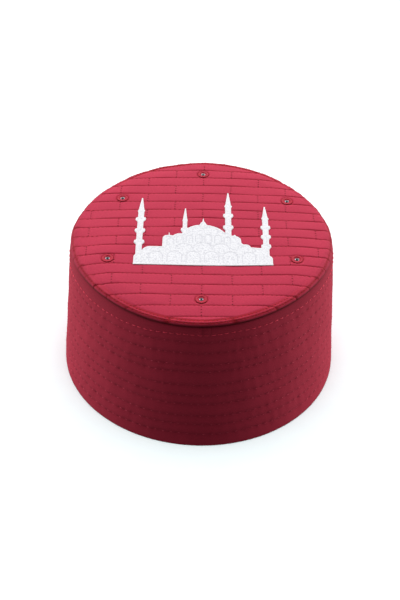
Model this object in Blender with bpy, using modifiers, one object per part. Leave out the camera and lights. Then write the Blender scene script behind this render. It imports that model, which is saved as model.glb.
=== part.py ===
"""Quilted turban cap, in metres, +Z up, with the front towards -Y.

A padded side band flares to its hem on z = 0. A nearly round quilted crown is
sewn to the band's top along a seam, tilts up a little towards the back, carries
a raised embroidery and is aired by six turned eyelets. The origin is in the
middle of the hem.
"""
import math

import bmesh
import bpy
from mathutils import Matrix, Vector

# Side band
HEAD_GIRTH = 0.580
BAND_WALL = 0.0030
SHOULDER_RADIUS = 0.0891
SHOULDER_FLATTENING = 0.0032
SHOULDER_HEIGHT = 0.0067
BAND_STITCH_DEPTH = 0.0005
BAND_SIDES = 64

# Crown, whose height is that of its flat edge above the hem, half way back
CAP_HEIGHT = 0.1015
SEAM_RADIUS = 0.0855
EDGE_ROLL = 0.0041
EDGE_FULLNESS = 3.0
CROWN_THICKNESS = 0.0035
DOME_RISE = 0.00255
TILT_UP_TO_BACK = math.radians(2.63)
TILT_UP_TO_RIGHT = math.radians(0.35)
SHIFT_TO_RIGHT = 0.0006
RIM_WAVE = 0.00055
RIM_CORNERS = 4
RIM_TURN = math.radians(-4.3)
CROWN_SIDES = 64
EDGE_STEPS = 4

# Quilting of the crown: rows run left to right, short tacks cross them
ROW_SPACING = 0.00954
ROW_OFFSET = 0.0016
TACK_PITCH = 0.0383
TACK_OFFSET = 0.0006
QUILT_DEPTH = 0.0005
TACK_DEPTH = 0.0003
CUT_MARGIN = 0.0015

# Eyelets
EYELET_INSET = 0.0131
EYELET_BORE_RADIUS = 0.0022
EYELET_METAL = 0.0003
EYELET_FLANGE_RADIUS = 0.0038
EYELET_FLANGE_HEIGHT = 0.0005
EYELET_CLENCH_RADIUS = 0.0035
EYELET_SIDES = 14

# Embroidery
MOTIF_WIDTH = 0.0915
MOTIF_HEIGHT = 0.0768
MOTIF_THICKNESS = 0.0008
MOTIF_CENTRE_X = 0.0016
MOTIF_BASE_Y = -0.0327
MOTIF_TURN = math.radians(1.15)
MOTIF_LEAN = math.radians(0.95)
MOTIF_FACET = 0.0140
SPIRE_WIDTH = 0.0008

# Play between sewn, seated and clenched pieces
SEAT_GAP = 0.0003

# Sizes that follow from these
HEM_RADIUS = HEAD_GIRTH / (2.0 * math.pi) + BAND_WALL
FLAT_RADIUS = SEAM_RADIUS - EDGE_ROLL
EYELET_CIRCLE = FLAT_RADIUS - EYELET_INSET
EYELET_BARREL_RADIUS = EYELET_BORE_RADIUS + EYELET_METAL
BAND_TOP = CAP_HEIGHT - CROWN_THICKNESS - SEAT_GAP
SHOULDER_BASE = BAND_TOP - SHOULDER_HEIGHT
BALCONY_HEIGHT = MOTIF_HEIGHT / 16.0
BALCONY_WIDTH = MOTIF_WIDTH / 13.2
COLLAR_WIDTH = MOTIF_WIDTH / 18.3
SHAFT_WIDTH = MOTIF_WIDTH / 22.9

# Stitch rows round the band, as shares of its height
BAND_ROWS = (0.098, 0.181, 0.257, 0.364, 0.444, 0.535, 0.652, 0.712, 0.807, 0.900, 0.954)

# Eyelets: name, angle from +X in degrees, distance from the middle as a share of the eyelet circle
EYELETS = (
    ("eyelet_back", 89.7, 1.00),
    ("eyelet_left_back", 144.9, 0.99),
    ("eyelet_right_back", 33.1, 1.03),
    ("eyelet_left_front", 204.1, 0.98),
    ("eyelet_right_front", 338.3, 0.99),
    ("eyelet_front", 270.7, 0.96),
)

# Minarets: place as a share of the motif's width from its middle, girth as a share of the common
# one, then as shares of the motif's height the top, the collar and the balconies from the highest down
MINARETS = {
    "outer_left": (-0.466, 1.00, 0.938, 0.744, (0.617, 0.455, 0.297)),
    "inner_left": (-0.138, 0.75, 0.761, 0.602, (0.466,)),
    "inner_right": (0.179, 1.02, 1.000, 0.802, (0.669, 0.505)),
    "outer_right": (0.453, 0.98, 0.818, 0.638, (0.505, 0.373, 0.246)),
}
LEFT_FOOT = 0.133
RIGHT_FOOT = 0.128

# Skyline between the minarets, from left to right. Each corner has its place as a share of the
# motif's width from its middle, its height as a share of the motif's height, and how far the arc
# that leads to it stands off its chord, as a share of the motif's height, or none for a straight line
BLOCK_LEFT = ((-0.500, 0.000, None), (-0.500, 0.113, None))
WING = ((-0.444, 0.171, None), (-0.383, 0.243, 0.021), (-0.298, 0.243, None))
STEP = ((-0.297, 0.363, None), (-0.255, 0.396, 0.010), (-0.251, 0.449, None), (-0.247, 0.396, None))
SADDLE = ((-0.223, 0.389, None), (-0.160, 0.422, 0.010))
DOME_LEFT = ((-0.119, 0.489, None), (-0.029, 0.529, 0.010))
LANTERN = (
    (-0.023, 0.550, None), (-0.007, 0.569, None), (-0.003, 0.611, None),
    (0.001, 0.569, None), (0.015, 0.550, None), (0.023, 0.527, None),
)
DOME_RIGHT = ((0.156, 0.435, 0.019),)
TERRACE = ((0.219, 0.394, None), (0.223, 0.405, None), (0.233, 0.405, None), (0.238, 0.388, None))
SHELF = (
    (0.274, 0.331, 0.011), (0.275, 0.301, None), (0.288, 0.280, None), (0.320, 0.276, None),
    (0.334, 0.263, None), (0.345, 0.238, None), (0.420, 0.227, None),
)
BLOCK_RIGHT = ((0.492, 0.109, None), (0.498, 0.088, None), (0.500, 0.000, None))

CRIMSON = (0.55, 0.045, 0.085, 1.0)
DARK_CRIMSON = (0.42, 0.030, 0.060, 1.0)
WHITE = (0.90, 0.90, 0.92, 1.0)
LACQUER = (0.50, 0.020, 0.040, 1.0)


def clear_scene():
    """Remove every object that the scene starts with."""
    for item in list(bpy.data.objects):
        bpy.data.objects.remove(item, do_unlink=True)


def collection(name):
    """New collection in the scene."""
    group = bpy.data.collections.new(name)
    bpy.context.scene.collection.children.link(group)
    return group


def material(name, colour, roughness, metallic=0.0):
    """Principled material of one colour."""
    result = bpy.data.materials.new(name)
    result.use_nodes = True
    shader = result.node_tree.nodes["Principled BSDF"]
    shader.inputs["Base Color"].default_value = colour
    shader.inputs["Roughness"].default_value = roughness
    shader.inputs["Metallic"].default_value = metallic
    result.diffuse_color = colour
    return result


def add_object(name, data, group, finish=None):
    """Object with the given mesh or curve, in a collection, with one material."""
    item = bpy.data.objects.new(name, data)
    group.objects.link(item)
    if finish:
        data.materials.append(finish)
    return item


def evaluated_mesh(item):
    """Mesh of an object with its modifiers applied. The object is then removed."""
    depsgraph = bpy.context.evaluated_depsgraph_get()
    mesh = bpy.data.meshes.new_from_object(item.evaluated_get(depsgraph))
    bpy.data.objects.remove(item, do_unlink=True)
    return mesh


def turned_object(name, profile, sides, group, finish=None):
    """Ring turned about Z from a closed profile of radius and height.

    The profile lies at +X and runs down its outer side.
    """
    count = len(profile)
    mesh = bpy.data.meshes.new(name)
    edges = [(index, (index + 1) % count) for index in range(count)]
    mesh.from_pydata([(radius, 0.0, height) for radius, height in profile], edges, [])
    item = add_object(name, mesh, group, finish)
    screw = item.modifiers.new("turn", "SCREW")
    screw.axis = "Z"
    screw.angle = 2.0 * math.pi
    screw.steps = sides
    screw.render_steps = sides
    screw.use_merge_vertices = True
    screw.merge_threshold = 0.00001
    return item


def leaned(x, y, z):
    """Point of the leaning cap for a point of the upright one.

    The lean grows with height, so that the hem stays flat, and the whole
    crown is tilted and shifted alike. So does the wave that gives the rim
    four slight corners.
    """
    share = min(z / BAND_TOP, 1.0)
    rise = math.tan(TILT_UP_TO_RIGHT) * x + math.tan(TILT_UP_TO_BACK) * y
    reach = math.hypot(x, y) / SEAM_RADIUS
    wave = RIM_WAVE * math.cos(RIM_CORNERS * (math.atan2(y, x) - RIM_TURN))
    swell = 1.0 + wave / SEAM_RADIUS * reach ** 3 * share
    return Vector((x * swell + SHIFT_TO_RIGHT * share, y * swell, z + rise * share))


def crown_point(x, y, lift=0.0):
    """Point at a height above the crown's unquilted upper face."""
    distance = math.hypot(x, y) / FLAT_RADIUS
    dome = DOME_RISE * max(0.0, 1.0 - distance * distance)
    return leaned(x, y, CAP_HEIGHT + dome + lift)


def crown_normal(x, y):
    """Direction square to the crown's upper face."""
    step = ROW_SPACING / 10.0
    along_x = crown_point(x + step, y) - crown_point(x - step, y)
    along_y = crown_point(x, y + step) - crown_point(x, y - step)
    return along_x.cross(along_y).normalized()


def quilt_depth(x, y):
    """Depth of the quilting at a point of the crown.

    Deepest on the lines between rows, none in the middle of a row, except
    where a tack pulls it down. Tacks of one row stand between those of the next.
    """
    row = (y - ROW_OFFSET) / ROW_SPACING
    column = (x - TACK_OFFSET) / TACK_PITCH
    line = math.sin(math.pi * row) ** 2
    tack = math.cos(math.pi * (column + 0.5 * round(row))) ** 8
    return QUILT_DEPTH * line + TACK_DEPTH * tack * (1.0 - line)


def steps_within(pitch, offset, limit):
    """Every offset plus a whole number of pitches that lies inside plus or minus the limit."""
    first = math.ceil((-limit - offset) / pitch)
    last = math.floor((limit - offset) / pitch)
    return [offset + index * pitch for index in range(first, last + 1)]


def cut_across(bm, place, normal):
    """Cut every face along one plane and keep both sides."""
    geometry = bm.verts[:] + bm.edges[:] + bm.faces[:]
    bmesh.ops.bisect_plane(bm, geom=geometry, plane_co=place, plane_no=normal)


def crown_panel(group, finish):
    """Domed disc with quilting on both faces and its edge rolled down to the seam."""
    bm = bmesh.new()
    bmesh.ops.create_circle(bm, cap_ends=True, segments=CROWN_SIDES, radius=FLAT_RADIUS)
    limit = FLAT_RADIUS - CUT_MARGIN
    for y in steps_within(ROW_SPACING / 2.0, ROW_OFFSET, limit):
        cut_across(bm, (0.0, y, 0.0), (0.0, 1.0, 0.0))
    for x in steps_within(TACK_PITCH / 2.0, TACK_OFFSET, limit):
        cut_across(bm, (x, 0.0, 0.0), (1.0, 0.0, 0.0))
    bmesh.ops.remove_doubles(bm, verts=bm.verts[:], dist=CUT_MARGIN / 2.0)
    upper_faces = bm.faces[:]
    extruded = bmesh.ops.extrude_face_region(bm, geom=upper_faces, use_keep_orig=True)
    lower = [item for item in extruded["geom"] if isinstance(item, bmesh.types.BMVert)]
    # Until the sheet is shaped, a vertex's depth is its share of the way to the lower face
    bmesh.ops.translate(bm, verts=lower, vec=(0.0, 0.0, -1.0))
    upright = [edge for edge in bm.edges if abs(edge.verts[0].co.z - edge.verts[1].co.z) > 0.5]
    bmesh.ops.subdivide_edges(bm, edges=upright, cuts=EDGE_STEPS - 1, use_grid_fill=True)
    bmesh.ops.recalc_face_normals(bm, faces=bm.faces[:])
    edge_verts = {vert for face in bm.faces if abs(face.normal.z) < 0.5 for vert in face.verts}
    for vert in bm.verts:
        x, y, depth = vert.co.x, vert.co.y, -vert.co.z
        groove = quilt_depth(x, y)
        if vert in edge_verts:
            angle = math.pi / 2.0 * (1.0 - depth)
            outwards = max(math.cos(angle), 0.0) ** (2.0 / EDGE_FULLNESS)
            upwards = math.sin(angle) ** (2.0 / EDGE_FULLNESS)
            radius = FLAT_RADIUS + EDGE_ROLL * outwards - groove * outwards * (1.0 - depth)
            stretch = radius / math.hypot(x, y)
            height = (CROWN_THICKNESS - groove * (1.0 - depth)) * upwards - CROWN_THICKNESS
            vert.co = leaned(x * stretch, y * stretch, CAP_HEIGHT + height)
        elif depth < 0.5:
            vert.co = crown_point(x, y, -groove)
        else:
            vert.co = crown_point(x, y, groove - CROWN_THICKNESS)
    mesh = bpy.data.meshes.new("crown_panel")
    bm.to_mesh(mesh)
    bm.free()
    mesh.shade_smooth()
    return add_object("crown_panel", mesh, group, finish)


def band_radius(height):
    """Outer radius of the band: a straight flare, then a round shoulder up to the seam."""
    if height <= SHOULDER_BASE:
        return HEM_RADIUS + (SHOULDER_RADIUS - HEM_RADIUS) * height / SHOULDER_BASE
    share = min((height - SHOULDER_BASE) / SHOULDER_HEIGHT, 1.0)
    return SEAM_RADIUS + (SHOULDER_RADIUS - SEAM_RADIUS) * math.sqrt(1.0 - share * share)


def flattened(x, y, z):
    """Point of the band drawn in where its shoulder is flat.

    The shoulder stands out at the sides and hardly at the front and back.
    What is taken off grows up to the shoulder, then fades to none at the seam.
    """
    if z <= SHOULDER_BASE:
        share = z / SHOULDER_BASE
    else:
        share = (band_radius(z) - SEAM_RADIUS) / (SHOULDER_RADIUS - SEAM_RADIUS)
    reach = math.hypot(x, y)
    off = SHOULDER_FLATTENING * share * (1.0 - (x / reach) ** 4)
    return x * (1.0 - off / reach), y * (1.0 - off / reach), z


def side_band(group, finish):
    """Flared wall, drawn in along each stitch row and open at the hem."""
    rows = [share * BAND_TOP for share in BAND_ROWS]
    middles = [(low + high) / 2.0 for low, high in zip([0.0] + rows, rows)]
    shoulder = [SHOULDER_BASE + SHOULDER_HEIGHT * math.sin(math.radians(angle)) for angle in (50, 70, 90)]
    outer = [(band_radius(height), height) for height in [0.0] + middles + shoulder]
    outer += [(band_radius(height) - BAND_STITCH_DEPTH, height) for height in rows]
    outer.sort(key=lambda point: -point[1])
    inner_heights = (0.0, SHOULDER_BASE / 2.0, SHOULDER_BASE, shoulder[0], BAND_TOP)
    inner = [(band_radius(height) - BAND_WALL, height) for height in inner_heights]
    turned = turned_object("side_band", outer + inner, BAND_SIDES, group)
    mesh = evaluated_mesh(turned)
    for vert in mesh.vertices:
        vert.co = leaned(*flattened(*vert.co))
    mesh.name = "side_band"
    mesh.shade_smooth()
    return add_object("side_band", mesh, group, finish)


def eyelet_profile():
    """Closed profile of an eyelet from its flange down to its clenched back.

    Height zero is the crown's upper face.
    """
    top = SEAT_GAP + EYELET_FLANGE_HEIGHT
    back = -CROWN_THICKNESS - SEAT_GAP
    throat = (EYELET_BARREL_RADIUS + EYELET_FLANGE_RADIUS) / 2.0
    return [
        (EYELET_BARREL_RADIUS, top),
        (throat, top),
        (EYELET_FLANGE_RADIUS, SEAT_GAP + EYELET_METAL),
        (EYELET_FLANGE_RADIUS, SEAT_GAP),
        (EYELET_BARREL_RADIUS, SEAT_GAP),
        (EYELET_BARREL_RADIUS, back),
        (EYELET_CLENCH_RADIUS, back),
        (EYELET_CLENCH_RADIUS, back - EYELET_METAL),
        (EYELET_BARREL_RADIUS, back - EYELET_FLANGE_HEIGHT),
        (EYELET_BORE_RADIUS, back - EYELET_METAL),
        (EYELET_BORE_RADIUS, top - EYELET_METAL),
    ]


def eyelet_frame(angle, share):
    """Place and turn of an eyelet that sits square on the crown."""
    x = EYELET_CIRCLE * share * math.cos(math.radians(angle))
    y = EYELET_CIRCLE * share * math.sin(math.radians(angle))
    turn = Vector((0.0, 0.0, 1.0)).rotation_difference(crown_normal(x, y))
    return Matrix.Translation(crown_point(x, y)) @ turn.to_matrix().to_4x4()


def add_eyelets(crown, parts, cutters, finish):
    """Turned eyelets, each in a hole that is cut through the crown."""
    for name, angle, share in EYELETS:
        frame = eyelet_frame(angle, share)
        eyelet = turned_object(name, eyelet_profile(), EYELET_SIDES, parts, finish)
        eyelet.matrix_world = frame
        bm = bmesh.new()
        radius = EYELET_BARREL_RADIUS + SEAT_GAP
        depth = 4.0 * CROWN_THICKNESS
        bmesh.ops.create_cone(
            bm, cap_ends=True, segments=EYELET_SIDES, radius1=radius, radius2=radius, depth=depth
        )
        mesh = bpy.data.meshes.new(name + "_hole")
        bm.to_mesh(mesh)
        bm.free()
        cutter = add_object(name + "_hole", mesh, cutters)
        cutter.matrix_world = frame
        cutter.hide_render = True
        cutter.display_type = "WIRE"
        hole = crown.modifiers.new(name + "_hole", "BOOLEAN")
        hole.operation = "DIFFERENCE"
        hole.solver = "EXACT"
        hole.object = cutter


def minaret_outline(name, left_foot, right_foot):
    """Outline of a minaret, up its left side and down its right, in the motif's plane."""
    place, girth, tip, collar, balconies = MINARETS[name]
    middle = place * MOTIF_WIDTH
    half_shaft = SHAFT_WIDTH * girth / 2.0
    half_balcony = BALCONY_WIDTH * girth / 2.0
    cone_foot = collar * MOTIF_HEIGHT
    side = [
        (tip * MOTIF_HEIGHT, SPIRE_WIDTH / 2.0),
        (cone_foot + BALCONY_HEIGHT / 3.0, half_shaft * 0.95),
        (cone_foot, COLLAR_WIDTH * girth / 2.0),
        (cone_foot - BALCONY_HEIGHT / 4.0, half_shaft),
    ]
    for level in balconies:
        height = level * MOTIF_HEIGHT
        side += [
            (height + BALCONY_HEIGHT * 0.50, half_shaft),
            (height + BALCONY_HEIGHT * 0.35, half_balcony * 0.93),
            (height - BALCONY_HEIGHT * 0.15, half_balcony),
            (height - BALCONY_HEIGHT * 0.60, half_shaft),
        ]
    left_foot, right_foot = left_foot * MOTIF_HEIGHT, right_foot * MOTIF_HEIGHT
    left = [(middle - half_shaft, left_foot)]
    left += [(middle - half, height) for height, half in reversed(side) if height > left_foot]
    right = [(middle + half, height) for height, half in side if height > right_foot]
    right.append((middle + half_shaft, right_foot))
    return left + right


def arc(start, end, rise, steps=5):
    """Points of a circular arc between two points, standing off its chord by the rise."""
    chord = Vector(end) - Vector(start)
    half = chord.length / 2.0
    radius = (half * half + rise * rise) / (2.0 * rise)
    across = Vector((-chord.y, chord.x)).normalized()
    centre = (Vector(start) + Vector(end)) / 2.0 - across * (radius - rise)
    spread = math.asin(min(half / radius, 1.0))
    points = []
    for index in range(1, steps):
        angle = spread * (2.0 * index / steps - 1.0)
        offset = across * math.cos(angle) + chord.normalized() * math.sin(angle)
        point = centre + offset * radius
        points.append((point.x, point.y))
    return points


def skyline(corners):
    """Points of one stretch of the skyline, from its corners. The first has no arc."""
    points = []
    for place, level, rise in corners:
        corner = (place * MOTIF_WIDTH, level * MOTIF_HEIGHT)
        if rise:
            points += arc(points[-1], corner, rise * MOTIF_HEIGHT)
        points.append(corner)
    return points


def motif_outline():
    """Outline of a domed mosque with four minarets, from the lower left corner."""
    points = skyline(BLOCK_LEFT) + minaret_outline("outer_left", LEFT_FOOT, WING[0][1])
    points += skyline(WING + STEP + SADDLE)
    points += minaret_outline("inner_left", SADDLE[-1][1], DOME_LEFT[0][1])
    points += skyline(DOME_LEFT + LANTERN + DOME_RIGHT)
    points += minaret_outline("inner_right", DOME_RIGHT[-1][1], TERRACE[0][1])
    points += skyline(TERRACE + SHELF)
    # The lowest balcony of the outer right minaret rises straight from the shelf
    points += minaret_outline("outer_right", SHELF[-1][1], RIGHT_FOOT)[1:]
    return points + skyline(BLOCK_RIGHT)


def mosque_embroidery(group, finish):
    """Raised plate of satin stitch that follows the crown's dome."""
    outline = motif_outline()
    curve = bpy.data.curves.new("motif_outline", "CURVE")
    curve.dimensions = "2D"
    curve.fill_mode = "BOTH"
    curve.extrude = MOTIF_THICKNESS / 2.0
    spline = curve.splines.new("POLY")
    spline.points.add(len(outline) - 1)
    for point, (x, y) in zip(spline.points, outline):
        point.co = (x, y, 0.0, 1.0)
    spline.use_cyclic_u = True
    mesh = evaluated_mesh(add_object("motif_outline", curve, group))
    bm = bmesh.new()
    bm.from_mesh(mesh)
    bmesh.ops.remove_doubles(bm, verts=bm.verts[:], dist=0.00001)
    for x in steps_within(MOTIF_FACET, 0.0, MOTIF_WIDTH / 2.0):
        cut_across(bm, (x, 0.0, 0.0), (1.0, 0.0, 0.0))
    for y in steps_within(MOTIF_FACET, 0.0, MOTIF_HEIGHT):
        cut_across(bm, (0.0, y, 0.0), (0.0, 1.0, 0.0))
    turn = Matrix.Rotation(MOTIF_TURN, 3, "Z")
    for vert in bm.verts:
        place = turn @ Vector((vert.co.x + math.tan(MOTIF_LEAN) * vert.co.y, vert.co.y, 0.0))
        lift = SEAT_GAP + MOTIF_THICKNESS / 2.0 + vert.co.z
        vert.co = crown_point(place.x + MOTIF_CENTRE_X, place.y + MOTIF_BASE_Y, lift)
    bmesh.ops.recalc_face_normals(bm, faces=bm.faces[:])
    bm.to_mesh(mesh)
    bm.free()
    return add_object("mosque_embroidery", mesh, group, finish)


def main():
    """Build the whole cap."""
    clear_scene()
    parts = collection("turban_cap")
    cutters = collection("cutters")
    crown = crown_panel(parts, material("crown_cloth", CRIMSON, 0.85))
    side_band(parts, material("band_cloth", DARK_CRIMSON, 0.85))
    add_eyelets(crown, parts, cutters, material("eyelet_lacquer", LACQUER, 0.30, 0.6))
    mosque_embroidery(parts, material("white_thread", WHITE, 0.55))


main()
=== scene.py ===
# %% [markdown]
# # A quilted turban cap, from its frame to its threads
# The cap is made of cotton cloth in two padded pieces. A round crown is quilted in straight rows and
# tacked like brickwork, and a tall band is quilted in running stitch round the head. Six eyelets air
# the crown, and a mosque is embroidered on it in white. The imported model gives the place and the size
# of every piece, and the cells below give each one its cloth, its thread and its metal.

import bpy
import numpy as np
from mathutils import Matrix


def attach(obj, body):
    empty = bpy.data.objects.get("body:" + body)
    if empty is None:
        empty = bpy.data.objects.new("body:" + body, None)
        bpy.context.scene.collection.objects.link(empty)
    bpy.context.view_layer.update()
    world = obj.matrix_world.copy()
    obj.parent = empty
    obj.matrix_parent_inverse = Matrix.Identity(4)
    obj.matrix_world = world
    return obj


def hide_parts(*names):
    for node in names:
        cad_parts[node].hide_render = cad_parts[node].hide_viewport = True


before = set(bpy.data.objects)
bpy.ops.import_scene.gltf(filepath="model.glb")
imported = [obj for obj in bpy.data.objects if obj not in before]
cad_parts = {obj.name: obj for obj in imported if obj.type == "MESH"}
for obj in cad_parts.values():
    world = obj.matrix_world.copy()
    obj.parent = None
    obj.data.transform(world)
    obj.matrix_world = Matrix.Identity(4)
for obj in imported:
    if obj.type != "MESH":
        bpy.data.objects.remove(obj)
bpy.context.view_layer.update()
print("frame nodes:", sorted(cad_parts))

# %% [markdown]
# ## Camera
# The photograph looks down at the cap from the front through a long lens, so the crown is a wide
# ellipse and the band's sides run almost straight down. A camera can be aimed by eye, but here its
# pitch, distance and lens come from fitting the cap's outline, and a small roll lets the right side
# hang a little lower, as it does in the picture.

# %% Camera
MM = 0.001
CAMERA_PITCH = np.radians(39.094)
CAMERA_ROLL = np.radians(1.198)
CAMERA_DISTANCE = 851.0 * MM
CAMERA_TARGET = np.array([-0.04, 0.0, 45.71]) * MM
LENS_MM = 72.985
SENSOR_WIDTH_MM = 36.0


def placed(name, data):
    """Object with the given data, linked to the scene."""
    item = bpy.data.objects.new(name, data)
    bpy.context.scene.collection.objects.link(item)
    return item


view_direction = np.array([0.0, np.cos(CAMERA_PITCH), -np.sin(CAMERA_PITCH)])
camera_data = bpy.data.cameras.new("photo_camera")
camera_data.lens = LENS_MM
camera_data.sensor_width = SENSOR_WIDTH_MM
camera_data.sensor_fit = "AUTO"
camera = placed("photo_camera", camera_data)
camera.matrix_world = (
    Matrix.Translation(CAMERA_TARGET - CAMERA_DISTANCE * view_direction)
    @ Matrix.Rotation(np.pi / 2.0 - CAMERA_PITCH, 4, "X")
    @ Matrix.Rotation(CAMERA_ROLL, 4, "Z")
)
bpy.context.scene.camera = camera
print("camera stands at", np.round(np.array(camera.location) * 1000.0), "mm")

# %% [markdown]
# ## Colours and nodes
# Colours are written as they look on a screen, in hex, but light adds up in linear values, so one
# function turns the first into the second. Materials are built from nodes. One small function adds a
# node, sets its choices and its sockets, and links any socket that is given another node's output.
# The few groups of nodes that every material repeats have a function each.


# %% Helpers for colour and nodes
def linear(hex_colour):
    """Linear colour of an sRGB hex value: each channel is divided by 12.92 near black, and is
    otherwise ((value + 0.055) / 1.055) to the power 2.4."""
    channels = np.array([int(hex_colour[index:index + 2], 16) for index in (1, 3, 5)]) / 255.0
    bright = ((channels + 0.055) / 1.055) ** 2.4
    return (*np.where(channels <= 0.04045, channels / 12.92, bright).tolist(), 1.0)


def new_material(name):
    """Material, its tree of nodes, and its Principled shader."""
    material = bpy.data.materials.new(name)
    material.use_nodes = True
    return material, material.node_tree, material.node_tree.nodes["Principled BSDF"]


def join(node, sockets):
    """Fill sockets of a node. An output is linked, a node stands for its first output, and numbers
    and colours are set."""
    for socket, value in sockets.items():
        value = value.outputs[0] if isinstance(value, bpy.types.Node) else value
        if isinstance(value, bpy.types.NodeSocket):
            node.id_data.links.new(value, node.inputs[socket])
        else:
            node.inputs[socket].default_value = value
    return node


def put(tree, kind, sockets=None, **choices):
    """Add one node, whose choices are its own settings, and fill its sockets."""
    node = tree.nodes.new("ShaderNode" + kind)
    for name, value in choices.items():
        setattr(node, name, value)
    return join(node, sockets or {})


def product(tree, first, second):
    """One value times another."""
    return put(tree, "Math", {0: first, 1: second}, operation="MULTIPLY")


def blend(tree, factor, low, high):
    """Colour between two, each in hex or from an output, by a factor from 0 to 1."""
    low, high = [linear(end) if isinstance(end, str) else end for end in (low, high)]
    return put(tree, "Mix", {0: factor, 6: low, 7: high}, data_type="RGBA").outputs[2]


def toned(tree, colour, tone):
    """Colour times a tone."""
    return put(tree, "VectorMath", {0: colour, "Scale": tone}, operation="SCALE")


def uneven(tree, spot, scale, detail, low, high):
    """Noise of a scale and detail, and a tone that goes from low to high as the noise does from 0.3
    to 0.7, where nearly all of it lies."""
    noise = put(tree, "TexNoise", {"Vector": spot, "Scale": scale, "Detail": detail})
    return noise, put(tree, "MapRange", {0: noise, 1: 0.3, 2: 0.7, 3: low, 4: high})


def relief(tree, height, strength, distance):
    """Direction of a surface with a relief too small for the mesh, from its height."""
    return put(tree, "Bump", {"Height": height, "Strength": strength, "Distance": distance})


def mark(tree, title):
    """Number that the mesh carries at its points under a title."""
    return put(tree, "Attribute", attribute_name=title).outputs["Fac"]


print("crimson in linear light:", np.round(linear("#C8425A"), 3))

# %% [markdown]
# ## Floor and light
# The cap stands on white paper in a plain studio. Its crown is bright and the front of its band is in
# deep shade, so the main light comes from high up behind, through a wide diffuser. Two low soft boxes
# a little behind the sides lift the band's flanks. Such a key would leave the paper grey, with the
# cap's shadow in front. So the key and the boxes light the cap alone, and a second, very broad light
# serves the paper, with a soft shadow at the hem. The paper gives less light back than it shows.

# %% Floor
FLOOR_SIZE = 12.0


def white_paper():
    """Matt paper that looks white and throws little light back at the cap."""
    material, tree, shader = new_material("white_paper")
    grain = put(tree, "TexNoise", {"Scale": 900.0, "Detail": 2.0})
    paper = blend(tree, grain, "#EEF9FB", "#F2FCFD")
    seen = blend(tree, put(tree, "LightPath").outputs["Is Camera Ray"], "#6E6E70", paper)
    join(shader, {"Base Color": seen, "Roughness": 0.95, "Specular IOR Level": 0.0})
    return material


half = FLOOR_SIZE / 2.0
floor_mesh = bpy.data.meshes.new("paper_floor")
floor_mesh.from_pydata([(-half, -half, 0.0), (half, -half, 0.0), (half, half, 0.0), (-half, half, 0.0)], [],
                       [(0, 1, 2, 3)])
floor_mesh.materials.append(white_paper())
floor = placed("paper_floor", floor_mesh)
print("floor of", FLOOR_SIZE, "m")

# %% Lights and how the picture is developed
KEY_STRENGTH = 2.5
KEY_SPREAD = np.radians(50.0)
KEY_TILT = np.radians(-40.0)
PAPER_STRENGTH = 4.0
PAPER_SPREAD = np.radians(150.0)
SIDE_POWER = 5.2
# name, place in metres, side in metres, share of the power
SIDE_BOXES = (
    ("soft_box_left", (-1.0, 0.34, 0.30), 0.9, 2.45),
    ("soft_box_right", (1.0, 0.38, 0.30), 0.9, 2.65),
)
LAMP_AIM = (0.0, 0.0, 0.05)
ROOM_LIGHT = 0.18
BACKDROP_LIGHT = 1.1


def aimed(place, target):
    """Matrix of a lamp that stands at a place and shines on a target: its -Z axis points there."""
    back = np.array(place) - np.array(target)
    back = back / np.linalg.norm(back)
    across = np.cross([0.0, 0.0, 1.0], back)
    across = across / np.linalg.norm(across)
    up = np.cross(back, across)
    turn = np.eye(4)
    turn[:3, 0], turn[:3, 1], turn[:3, 2], turn[:3, 3] = across, up, back, place
    return Matrix(turn.tolist())


def lamp(name, kind, energy, lit):
    """Lamp of a kind that lights one collection alone."""
    data = bpy.data.lights.new(name, kind)
    data.energy = energy
    item = placed(name, data)
    item.light_linking.receiver_collection = lit
    return item


cap_pieces = bpy.data.collections.new("lit_by_the_key")
paper_pieces = bpy.data.collections.new("lit_by_the_paper_light")
paper_pieces.objects.link(floor)
for name, energy, spread, tilt, lit in (
    ("key_from_behind", KEY_STRENGTH, KEY_SPREAD, KEY_TILT, cap_pieces),
    ("paper_light", PAPER_STRENGTH, PAPER_SPREAD, 0.0, paper_pieces),
):
    sun = lamp(name, "SUN", energy, lit)
    sun.data.angle = spread
    sun.rotation_euler = (tilt, 0.0, 0.0)
for name, place, size, power in SIDE_BOXES:
    box = lamp(name, "AREA", SIDE_POWER * power, cap_pieces)
    box.data.size = size
    box.matrix_world = aimed(place, LAMP_AIM)
    box.visible_camera = False

world = bpy.data.worlds.new("white_room")
world.use_nodes = True
bpy.context.scene.world = world
ray = put(world.node_tree, "LightPath")
strength = put(world.node_tree, "MapRange", {
    0: ray.outputs["Is Camera Ray"], 3: ROOM_LIGHT, 4: BACKDROP_LIGHT,
})
join(world.node_tree.nodes["Background"], {"Strength": strength, "Color": linear("#FFFFFF")})
bpy.context.scene.view_settings.view_transform = "Standard"

# %% [markdown]
# ## The cap's measures
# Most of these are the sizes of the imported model, repeated here because the cloth, thread and metal
# below have to lie on it. A few differ from it by less than a millimetre, to follow the cloth more
# closely, and three are new: the dip under the embroidery, the shoulder's tuck and the hem's spread.
# Lengths are in millimetres times MM.

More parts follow.
